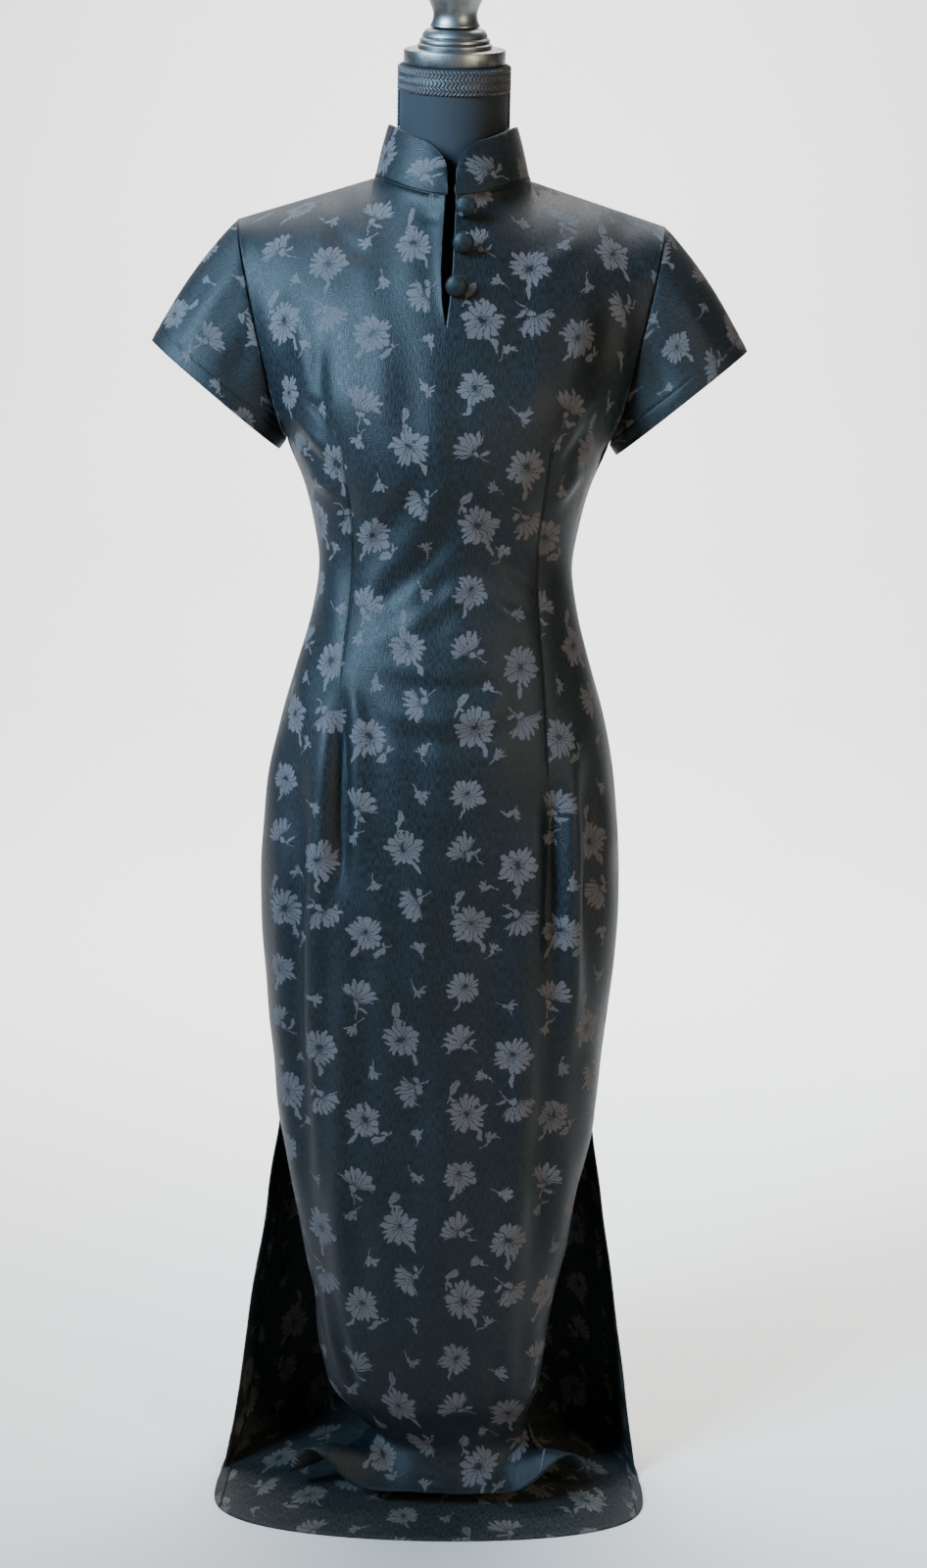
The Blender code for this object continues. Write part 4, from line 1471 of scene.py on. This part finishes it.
    def edge_strip(self, name: str, left: bool, finishes: Finishes) -> bpy.types.Object:
        """The slit edge turned in: the panel's own inner points from the edge inwards, moved in.

        Args:
            name: the strip's name.
            left: whether it is at the first columns, which are the wearer's left on the back.
            finishes: the dress's finishes.

        Returns:
            The strip.
        """
        first = int(np.argmax(self.grid[:, self.middle, 2] < self.slit_top))
        inwards = -grid_normals(self.grid)
        lines = self.grid + inwards * (self.wall + self.facing_gap)
        lines[..., 2] = np.maximum(lines[..., 2], 0.0004)
        columns = slice(None, self.facing_width) if left else slice(-self.facing_width, None)
        part, cut = lines[first:, columns], self.cut[first:, columns]
        faces = grid_faces(part.shape[0], part.shape[1], False)
        edge = np.abs(cut[..., 0] - (cut[:, :1, 0] if left else cut[:, -1:, 0]))
        mark = bell(edge, 0.0012)
        uv = corner_uv(cut + np.array([0.031, 0.017]))
        return cloth_piece(name, part, faces, finishes, uv, mark, -0.0004)


def waist_row(cut: Array) -> int:
    """The row of a cut that its lengths down are measured from."""
    return int(np.argmin(np.abs(cut[:, cut.shape[1] // 2, 1])))


@dataclass
class Sleeve:
    """A short set-in sleeve, from the armhole line to a slanting hem turned up and stitched.

    pulls are soft ridges and troughs: an angle round the sleeve, a spread and a height.
    """

    name: str
    side: int
    block: Block
    tip: tuple[float, float] = (0.274, 1.100)
    foot: tuple[float, float] = (0.157, 1.004)
    depth: float = 0.050
    row_count: int = 64
    column_count: int = 144
    hem: float = 0.014
    wall: float = 0.0013
    pulls: tuple[tuple[float, float, float], ...] = (
        (0.75, 0.02, 0.0030), (1.25, 0.03, -0.0028), (2.1, 0.05, 0.0026),
        (4.6, 0.03, -0.0026), (5.3, 0.03, 0.0028), (3.9, 0.05, 0.0022))

    def build(self, finishes: Finishes) -> bpy.types.Object:
        """Build the sleeve: rings eased from the armhole to the hem, with a few pulls from the cap.

        Args:
            finishes: the finishes.

        Returns:
            The piece.
        """
        angle = np.linspace(0, -2 * math.pi, self.column_count, endpoint=False)
        start = self.block.armhole(angle)
        start[:, 0] += 0.0006
        middle = np.array([(self.tip[0] + self.foot[0]) / 2, 0.0, (self.tip[1] + self.foot[1]) / 2])
        half = np.array([(self.tip[0] - self.foot[0]) / 2, 0.0, (self.tip[1] - self.foot[1]) / 2])
        end = middle + np.cos(angle)[:, None] * half
        end[:, 1] = -self.depth * np.sin(angle)
        share = np.linspace(0, 1, self.row_count)[:, None, None]
        grid = start[None] * (1 - share) + end[None] * share
        swell = np.sin(math.pi * share[..., 0])
        top = np.clip(np.cos(angle), 0, 1)
        grid[..., 0] += 0.004 * swell * top
        grid[..., 2] += 0.003 * swell * top
        seam_push = np.exp(-share[..., 0] / 0.05)
        pulls = sum(amount * np.exp(-((angle + place + math.pi) % (2 * math.pi) - math.pi) ** 2 / spread)
                    for place, spread, amount in self.pulls)
        lift = pulls[None] * np.sin(math.pi * np.clip(share[..., 0] * 1.15, 0, 1)) - 0.0012 * seam_push
        cut = cut_uv(np.concatenate([grid, grid[:, :1]], axis=1), 0, 0)
        to_hem = cut[:, :-1, 1] - cut[-1:, :-1, 1]
        lift += 0.0006 * bell(to_hem - self.hem * 0.5, self.hem)
        lift -= 0.0005 * bell(to_hem - self.hem, 0.0012)
        grid = grid + grid_normals(grid, True) * lift[..., None]
        mirror = np.array([self.side, 1.0, 1.0])
        mark = np.maximum(bell(share[..., 0] * 0.12, 0.0012), 0.55 * bell(to_hem - self.hem, 0.0009))
        grid, faces = grid * mirror, grid_faces(self.row_count, self.column_count, True)
        uv = corner_uv(cut + np.array([0.05 * self.side, 0.02]))
        if self.side < 0:
            faces, uv = faces[:, ::-1], uv[:, ::-1]
        return cloth_piece(self.name, grid, faces, finishes, uv, mark, self.wall)


@dataclass
class Collar:
    """The stand collar: one interfaced band from the neck seam, with round front corners."""

    block: Block
    height: float = 0.045
    corner: float = 0.028
    gap: float = 0.0038
    lean: float = 0.012
    wall: float = 0.0018
    row_count: int = 22
    end_columns: int = 34
    round_columns: int = 130
    end_turn: float = 0.44
    end_crowding: float = 1.7
    lean_power: float = 0.8
    bow: float = 0.0012
    waver: float = 0.0006

    def build(self, finishes: Finishes) -> bpy.types.Object:
        """Build the band: the neck's ellipse, raised by its height and leaning in as it rises.

        Args:
            finishes: the finishes.

        Returns:
            The piece.
        """
        block = self.block
        start = math.asin(self.gap / block.neck_x)
        corner_turn = start + self.end_turn
        ends = start + (corner_turn - start) * np.linspace(0, 1, self.end_columns) ** self.end_crowding
        behind = np.linspace(corner_turn, 2 * math.pi - corner_turn, self.round_columns)[1:-1]
        turn = np.concatenate([ends, behind, 2 * math.pi - ends[::-1]])
        front = np.cos(turn) > 0
        depth = np.where(front, -block.neck_front[0], block.neck_back[0])
        rise = np.where(front, block.neck_front[1], block.neck_back[1]) - block.neck_side_z
        seam = np.stack([block.neck_x * np.sin(turn), -depth * np.cos(turn),
                         block.neck_side_z + rise * np.cos(turn) ** 2 + 2 * block.seam], axis=-1)
        along = np.concatenate([[0.0], np.cumsum(np.linalg.norm(np.diff(seam, axis=0), axis=1))])
        to_end = np.minimum(along, along[-1] - along)
        short = np.clip(self.corner - to_end, 0, self.corner)
        height = self.height - self.corner + np.sqrt(self.corner ** 2 - short ** 2)
        inwards = unit(seam * np.array([-1.0, -1.0, 0.0]))
        share = np.linspace(1, 0, self.row_count)[:, None]
        risen = share * height
        lean = self.lean * (risen / self.height) ** self.lean_power
        bow = self.bow * np.sin(math.pi * share) + self.waver * np.sin(3.0 * turn + 1.0) * share
        grid = seam[None] + inwards[None] * (lean - bow)[..., None]
        grid[..., 2] += risen
        cut = cut_uv(grid, grid.shape[1] // 2, self.row_count - 1)
        from_edge = (height[None] - risen)
        mark = np.maximum(bell(risen, 0.0011), 0.35 * bell(from_edge - 0.003, 0.0009))
        mark = np.where(height[None] < 0.02, mark * 0.5, mark)
        return cloth_piece("collar_band", grid, grid_faces(*grid.shape[:2], False), finishes,
                           corner_uv(cut + np.array([0.02, 0.09])), mark, self.wall)


@dataclass
class CoveredButton:
    """A half ball covered with the dress's cloth, gathered under its rim, on a short shank."""

    number: int
    place: tuple[float, float, float]
    lean: float
    design: tuple[float, float]
    radius: float = 0.0095
    height: float = 0.0072
    row_count: int = 26
    column_count: int = 64
    rim: float = 0.0016
    under: float = 0.0022
    under_turn: float = 0.62
    under_share: float = 0.80
    wall: float = 0.0006

    def build(self, finishes: Finishes) -> bpy.types.Object:
        """Build the button: a turned profile, gathered by a ripple that grows towards its rim.

        Args:
            finishes: the finishes.

        Returns:
            The piece.
        """
        share = np.linspace(0, 1, self.row_count)
        turn = share * (math.pi / 2 + self.under_turn)
        radius = self.radius * np.sin(turn)
        height = self.rim + (self.height - self.rim) * np.cos(turn)
        tucked = (turn - math.pi / 2) / self.under_turn
        radius = np.where(tucked > 0, self.radius * (1 - tucked ** 2 * self.under_share), radius)
        height = np.where(tucked > 0, self.rim - self.under * tucked, height)
        radius[0] = 0.00002
        angle = np.linspace(0, 2 * math.pi, self.column_count, endpoint=False)
        ripple = 1 + 0.012 * np.sin(11 * angle + self.number)[None] * (share[:, None] ** 4)
        reach = radius[:, None] * ripple
        local = np.stack([reach * np.cos(angle), reach * np.sin(angle),
                          np.broadcast_to(height[:, None], reach.shape)], axis=-1)
        lean = self.lean
        grid = np.stack([local[..., 0],
                         -local[..., 2] * math.cos(lean) - local[..., 1] * math.sin(lean),
                         local[..., 1] * math.cos(lean) + local[..., 2] * math.sin(lean)], axis=-1)
        grid = grid + np.array(self.place)
        flat = np.stack([local[..., 0], local[..., 1]], axis=-1) * 1.2 + np.array(self.design)
        flat = np.concatenate([flat, flat[:, :1]], axis=1)
        faces = grid_faces(self.row_count, self.column_count, True)
        # A darker ring just under the rim, where the covered dome turns in towards the dress: painted shade,
        # carried in the seam mark.
        mark = 0.6 * bell(share - 0.80, 0.05)[:, None] * np.ones(self.column_count)
        return cloth_piece(f"covered_button_{self.number}", grid, faces, finishes, corner_uv(flat), mark,
                           self.wall)


# ---- The dress form ----
@dataclass
class FormBody:
    """The jersey-covered form: smooth rings from the hips to the slanting top of the neck."""

    neck_radius: float = 0.0493
    neck_top: float = 1.348
    neck_slope: float = 0.32
    columns: int = 112
    row_count: int = 150
    rings: tuple[Level, ...] = (
        Level(1.258, 0.0493, 0.0493, 0.0493), Level(1.241, 0.0560, 0.0495, 0.051),
        Level(1.228, 0.0740, 0.049, 0.052), Level(1.215, 0.1030, 0.048, 0.054),
        Level(1.200, 0.1320, 0.052, 0.060), Level(1.180, 0.1520, 0.066, 0.072),
        Level(1.150, 0.1570, 0.083, 0.084), Level(1.110, 0.1530, 0.098, 0.092),
        Level(1.060, 0.1450, 0.110, 0.092), Level(1.014, 0.1370, 0.113, 0.088),
        Level(0.970, 0.1205, 0.104, 0.084), Level(0.935, 0.1120, 0.088, 0.078),
        Level(0.900, 0.1070, 0.080, 0.076), Level(0.860, 0.1125, 0.083, 0.082),
        Level(0.822, 0.1220, 0.091, 0.092), Level(0.767, 0.1390, 0.098, 0.106),
        Level(0.720, 0.1495, 0.101, 0.115), Level(0.663, 0.1565, 0.099, 0.118),
        Level(0.615, 0.1600, 0.097, 0.118), Level(0.560, 0.1560, 0.092, 0.108))

    def build(self, finishes: Finishes) -> bpy.types.Object:
        """Build the form: ellipses of each level's sizes, joined by a cubic curve, closed at both ends.

        Args:
            finishes: the finishes.

        Returns:
            The piece.
        """
        angle = np.linspace(0, 2 * math.pi, self.columns, endpoint=False)
        cosine, sine = np.cos(angle), np.sin(angle)
        top = np.stack([self.neck_radius * cosine, self.neck_radius * sine,
                        self.neck_top + self.neck_slope * self.neck_radius * sine], axis=-1)
        rings = [top, top * np.array([1, 1, 0]) + np.array([0, 0, 1.300])]
        for level in self.rings:
            depth = np.where(sine < 0, level.front, level.back)
            rings.append(np.stack([level.half_width * cosine, depth * sine,
                                   np.full_like(sine, level.height)], axis=-1))
        grid = smooth_rows(np.array(rings), self.row_count)
        return closed_piece("form_cover", grid, grid[[0, -1]].mean(axis=1), finishes.jersey, 50.0)


@dataclass
class Braids:
    """The gimp round the top of the neck, three rows of chevrons, and a narrow one down each side."""

    body: FormBody
    height: float = 0.0205
    stitch: float = 0.0036
    side_bottom: float = 1.2650
    tape: float = 0.0006
    tape_columns: int = 128

    def chevrons(self, centre: Callable[[Array, Array], Array], length: float, rows: Array,
                 row_height: float, sides: int = 6) -> tuple[Array, Array]:
        """Rows of slanting stitches, each row slanting the other way from the last.

        Args:
            centre: maps places along and up to points.
            length: how long the braid is.
            rows: the height of each half row's middle.
            row_height: height of a half row.
            sides: corners of a stitch's ring.

        Returns:
            Vertices and quads of all stitches.
        """
        count = int(round(length / self.stitch))
        along = (np.arange(count) + 0.5) * length / count
        part = np.linspace(-0.5, 0.5, 6)
        slant = np.where(np.arange(len(rows)) % 2 == 0, 1.0, -1.0)
        place = along[None, :, None] + slant[:, None, None] * part[None, None, :] * self.stitch * 1.25
        up = rows[:, None, None] + part[None, None, :] * row_height * 1.15 + np.zeros_like(place)
        paths = centre(place, up).reshape(-1, len(part), 3)
        radii = 0.00105 * np.sqrt(np.clip(1 - (2 * part) ** 4, 0.05, 1))
        return tubes(paths, np.broadcast_to(radii, paths.shape[:2]), sides)

    def build_band(self, finishes: Finishes) -> bpy.types.Object:
        """The band round the neck: a thin tape with three rows of chevrons on it.

        Args:
            finishes: the finishes.

        Returns:
            The piece.
        """
        radius = self.body.neck_radius + 0.0010

        def on_neck(place: Array, up: Array) -> Array:
            """Points round the slanting top of the neck."""
            angle = place / radius
            return np.stack([radius * np.cos(angle), radius * np.sin(angle),
                             self.body.neck_top - 0.001 - up + self.body.neck_slope * radius * np.sin(angle)],
                            axis=-1)
        half_row = self.height / 6
        rows = (np.arange(6) + 0.5) * half_row
        vertices, faces = self.chevrons(on_neck, 2 * math.pi * radius, rows, half_row)
        columns = self.tape_columns
        angle = np.linspace(0, 2 * math.pi, columns, endpoint=False)[None, :] * radius
        tape_up = np.array([0.0, self.height, self.height, 0.0])[:, None] + 0 * angle
        tape = on_neck(angle + 0 * tape_up, tape_up)
        push = np.array([0.0, 0.0, -self.tape, -self.tape])[:, None]
        tape[..., :2] *= 1 + push[..., None] / radius
        quads = grid_faces(4, columns, True)
        first = np.arange(columns)
        following = (first + 1) % columns
        closing = np.stack([3 * columns + first, first, following, 3 * columns + following], axis=-1)
        all_faces = np.concatenate([faces, np.concatenate([quads, closing]) + len(vertices)])
        return add_piece("neck_gimp", np.concatenate([vertices, tape.reshape(-1, 3)]), all_faces,
                         (finishes.gimp,))

    def build_side(self, name: str, side: int, finishes: Finishes) -> bpy.types.Object:
        """A narrow braid down one side of the neck, to inside the collar.

        Args:
            name: its name.
            side: -1 or 1 along X.
            finishes: the finishes.

        Returns:
            The piece.
        """
        top = self.body.neck_top - self.height - 0.002
        reach = self.body.neck_radius + 0.0008

        def down(place: Array, up: Array) -> Array:
            """Points on one side of the neck."""
            return np.stack([np.full_like(place, side * reach), up + 0 * place, top - place], axis=-1)
        vertices, faces = self.chevrons(down, top - self.side_bottom, np.array([-0.0013, 0.0013]), 0.0024)
        return add_piece(name, vertices, faces, (finishes.gimp,))


@dataclass
class Turned:
    """A turned piece: a profile from the top down, carried round an axis that may lean forwards."""

    name: str
    profile: tuple[tuple[float, float], ...]
    finish: str
    base: tuple[float, float, float] = (0.0, 0.0, 0.0)
    lean: float = 0.0
    columns: int = 96
    soften: int = 0

    def smooth_profile(self) -> Array:
        """The profile, with its corners cut twice where it is a flowing one.

        Returns:
            points x 2 radii and heights.
        """
        line = np.array(self.profile)
        for _ in range(self.soften):
            first, last = line[:1], line[-1:]
            near = line[:-1] * 0.75 + line[1:] * 0.25
            far = line[:-1] * 0.25 + line[1:] * 0.75
            line = np.concatenate([first, np.stack([near, far], axis=1).reshape(-1, 2), last])
        return line

    def build(self, finishes: Finishes) -> bpy.types.Object:
        """Build the piece: every profile point's circle, with single points on the axis.

        Args:
            finishes: the finishes.

        Returns:
            The piece.
        """
        line = self.smooth_profile()
        inner = line[1:-1]
        angle = np.linspace(0, 2 * math.pi, self.columns, endpoint=False)
        grid = np.stack([inner[:, :1] * np.cos(angle), inner[:, :1] * np.sin(angle),
                         np.broadcast_to(inner[:, 1:], (len(inner), self.columns))], axis=-1)
        points = np.concatenate([grid.reshape(-1, 3), [[0, 0, line[0, 1]], [0, 0, line[-1, 1]]]])
        sine, cosine = math.sin(self.lean), math.cos(self.lean)
        leaned = np.stack([points[:, 0], points[:, 1] * cosine - points[:, 2] * sine,
                           points[:, 1] * sine + points[:, 2] * cosine], axis=-1) + np.array(self.base)
        rings = leaned[:-2].reshape(len(inner), self.columns, 3)
        return closed_piece(self.name, rings, leaned[-2:], getattr(finishes, self.finish), 38.0)


# ---- The studio ----
@dataclass(frozen=True)
class Lamp:
    """A soft rectangular lamp that points at a target, its beam as wide as spread degrees."""

    name: str
    place: Point
    target: Point
    size: tuple[float, float]
    power: float
    color: Tint
    spread: float = 180.0

    def build(self) -> None:
        """Put the lamp into the scene."""
        light = bpy.data.lights.new(self.name, "AREA")
        light.shape = "RECTANGLE"
        light.size, light.size_y = self.size
        light.energy, light.color = self.power, self.color
        light.spread = math.radians(self.spread)
        lamp = bpy.data.objects.new(self.name, light)
        lamp.location = self.place
        way = np.array(self.target) - np.array(self.place)
        fall = math.atan2(math.hypot(way[0], way[1]), -way[2])
        lamp.rotation_euler = (fall, 0.0, math.atan2(-way[0], way[1]))
        bpy.context.collection.objects.link(lamp)


# A cool window-like lamp from the left, a weak warm one from the right, and two for the backdrop
LAMPS = (
    Lamp("window_lamp", (-1.62, -1.30, 1.95), (0.0, 0.0, 1.12), (0.8, 1.1), 33.0, (0.46, 0.73, 1.0), 62.0),
    Lamp("room_lamp", (1.55, -1.70, 1.25), (0.0, 0.0, 0.8), (0.6, 1.0), 30.0, (1.0, 0.88, 0.62)),
    Lamp("floor_lamp", (0.0, 1.3, 3.6), (0.0, 1.5, 0.0), (2.4, 1.6), 110.0, (1.0, 0.98, 0.96)),
    Lamp("backdrop_lamp", (0.0, 1.2, 3.2), (0.0, 4.6, 0.9), (3.6, 1.0), 620.0, (1.0, 1.0, 1.0)),
)


@dataclass(frozen=True)
class Studio:
    """A pale floor, soft lamps and the camera."""

    camera_place: tuple[float, float, float] = (0.0205, -1.760, 0.970)
    camera_fall: float = 9.0
    camera_roll: float = 1.10
    lens: float = 42.75
    sky: float = 0.08

    def floor(self) -> bpy.types.Object:
        """A wide pale floor, rounding up behind into a backdrop.

        Returns:
            The piece.
        """
        depth = np.array([-6.0, -2.0, 2.0, 3.0, 3.8, 4.4, 4.8, 5.0, 5.0])
        height = np.array([0.0, 0.0, 0.0, 0.06, 0.30, 0.75, 1.4, 2.4, 7.0]) - 0.0002
        width = np.linspace(-7.0, 7.0, 9)
        grid = np.stack(np.broadcast_arrays(width[None, :], depth[::-1, None], height[::-1, None]), axis=-1)
        piece = add_piece("studio_floor", grid, grid_faces(*grid.shape[:2], False), (Plain().build(),))
        return piece

    def lamps(self) -> None:
        """Put in the lamps and a weak sky."""
        for lamp in LAMPS:
            lamp.build()
        world = bpy.data.worlds.new("studio_sky")
        world.use_nodes = True
        sky = world.node_tree.nodes["Background"]
        sky.inputs["Color"].default_value = (0.94, 0.96, 1.0, 1.0)
        sky.inputs["Strength"].default_value = self.sky
        bpy.context.scene.world = world

    def camera(self) -> None:
        """The camera, level with the waist and looking slightly down."""
        data = bpy.data.cameras.new("camera")
        data.lens = self.lens
        data.sensor_width = 36.0
        data.sensor_fit = "AUTO"
        item = bpy.data.objects.new("camera", data)
        item.location = self.camera_place
        fall, roll = math.radians(self.camera_fall), math.radians(self.camera_roll)
        item.rotation_mode = "QUATERNION"
        tilt = Quaternion((1.0, 0.0, 0.0), math.pi / 2 - fall)
        item.rotation_quaternion = tilt @ Quaternion((0.0, 0.0, 1.0), roll)
        bpy.context.collection.objects.link(item)
        bpy.context.scene.camera = item


# ---- Building ----
def settle(piece: bpy.types.Object, nodes: Iterable[str]) -> None:
    """Attach a finished piece to the body it rides on, and hide the nodes that it stands for.

    Args:
        piece: the piece.
        nodes: the nodes that it stands for.
    """
    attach(piece, BODY_NAME)
    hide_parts(*nodes)
    LOG.info("%s: %d faces", piece.name, len(piece.data.polygons))


def build_dress(finishes: Finishes) -> None:
    """Build every piece of the dress, each with its cut in its own UV map.

    Args:
        finishes: the finishes.
    """
    block = Block()
    front = BodyPanel("front_cloth", Facing.FRONT, block, FRONT_DART, FRONT_FOLDS)
    piece = front.build(finishes)
    settle(piece, ["front_panel"])
    back = BodyPanel("back_cloth", Facing.BACK, block, BACK_DART, BACK_FOLDS, row_count=300)
    piece = back.build(finishes)
    settle(piece, ["back_panel"])
    for side, left in (("left", True), ("right", False)):
        strip = back.edge_strip(f"slit_edge_{side}", left, finishes)
        settle(strip, [f"back_slit_facing_{side}"])
    for side, sign in (("left", 1), ("right", -1)):
        sleeve = Sleeve(f"sleeve_cloth_{side}", sign, block).build(finishes)
        settle(sleeve, [f"sleeve_{side}"])
    collar = Collar(block).build(finishes)
    settle(collar, ["collar"])
    for number, design in ((1, (0.052, 0.052)), (2, (0.140, 0.084)), (3, (0.092, 0.064))):
        low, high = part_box(f"button_{number}")
        middle = [(low[axis] + high[axis]) / 2 for axis in range(3)]
        place = (middle[0], high[1] - 0.0018, middle[2])
        button = CoveredButton(number, place, 0.12, design).build(finishes)
        settle(button, [f"button_{number}"])


def build_form(finishes: Finishes) -> None:
    """Build the form, its braids and its metal, and dress the pole.

    Args:
        finishes: the finishes.
    """
    body = FormBody()
    settle(body.build(finishes), ["form_torso"])
    braids = Braids(body)
    settle(braids.build_band(finishes), ["form_neck_braid"])
    for side, sign in (("left", 1), ("right", -1)):
        settle(braids.build_side(f"side_gimp_{side}", sign, finishes), [f"form_side_braid_{side}"])
    lean = math.atan(body.neck_slope)
    seat = (0.0, -0.0003 * math.sin(lean), body.neck_top + 0.0003 * math.cos(lean))
    cap = Turned("neck_cap", (
        (0.0, 0.0300), (0.0236, 0.0300), (0.0262, 0.0288), (0.0286, 0.0262), (0.0296, 0.0240),
        (0.0290, 0.0228),
        (0.0300, 0.0222), (0.0316, 0.0208), (0.0318, 0.0192), (0.0308, 0.0182), (0.0318, 0.0178),
        (0.0334, 0.0166), (0.0336, 0.0148), (0.0330, 0.0134), (0.0344, 0.0130), (0.0440, 0.0130),
        (0.0454, 0.0124), (0.0460, 0.0108), (0.0460, 0.0020), (0.0454, 0.0004), (0.0440, 0.0), (0.0, 0.0)),
        "pewter", seat, lean)
    settle(cap.build(finishes), ["form_cap"])
    finial = Turned("neck_finial", (
        (0.0, 0.1060), (0.0110, 0.1050), (0.0215, 0.1000), (0.0285, 0.0905), (0.0318, 0.0790),
        (0.0305, 0.0680),
        (0.0255, 0.0565), (0.0210, 0.0475), (0.0194, 0.0415), (0.0205, 0.0355), (0.0238, 0.0303),
        (0.0, 0.0303)),
        "pewter", seat, lean, soften=3)
    settle(finial.build(finishes), ["form_finial"])
    base = Turned("stand_base", (
        (0.0, 0.0300), (0.0165, 0.0300), (0.0190, 0.0292), (0.0200, 0.0275), (0.0206, 0.0225),
        (0.0230, 0.0206),
        (0.0300, 0.0200), (0.0560, 0.0184), (0.0700, 0.0165), (0.0735, 0.0148), (0.0750, 0.0120),
        (0.0750, 0.0045), (0.0740, 0.0030), (0.0725, 0.0026), (0.0, 0.0026)), "paint")
    settle(base.build(finishes), ["form_base"])
    low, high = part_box("form_pole")
    radius = (high[0] - low[0]) / 2
    bevel = radius - 0.0006
    pole = Turned("stand_pole", ((0.0, high[2]), (bevel, high[2]), (radius, high[2] - 0.0006),
                                 (radius, low[2] + 0.0006), (bevel, low[2]), (0.0, low[2])), "steel")
    settle(pole.build(finishes), ["form_pole"])


def main() -> None:
    """Build the dress, the form and the studio in order."""
    logging.basicConfig(level=logging.INFO, format="%(name)s %(message)s")
    finishes = Finishes()
    build_dress(finishes)
    build_form(finishes)
    studio = Studio()
    studio.floor()
    studio.lamps()
    studio.camera()


if __name__ == "__main__":
    main()
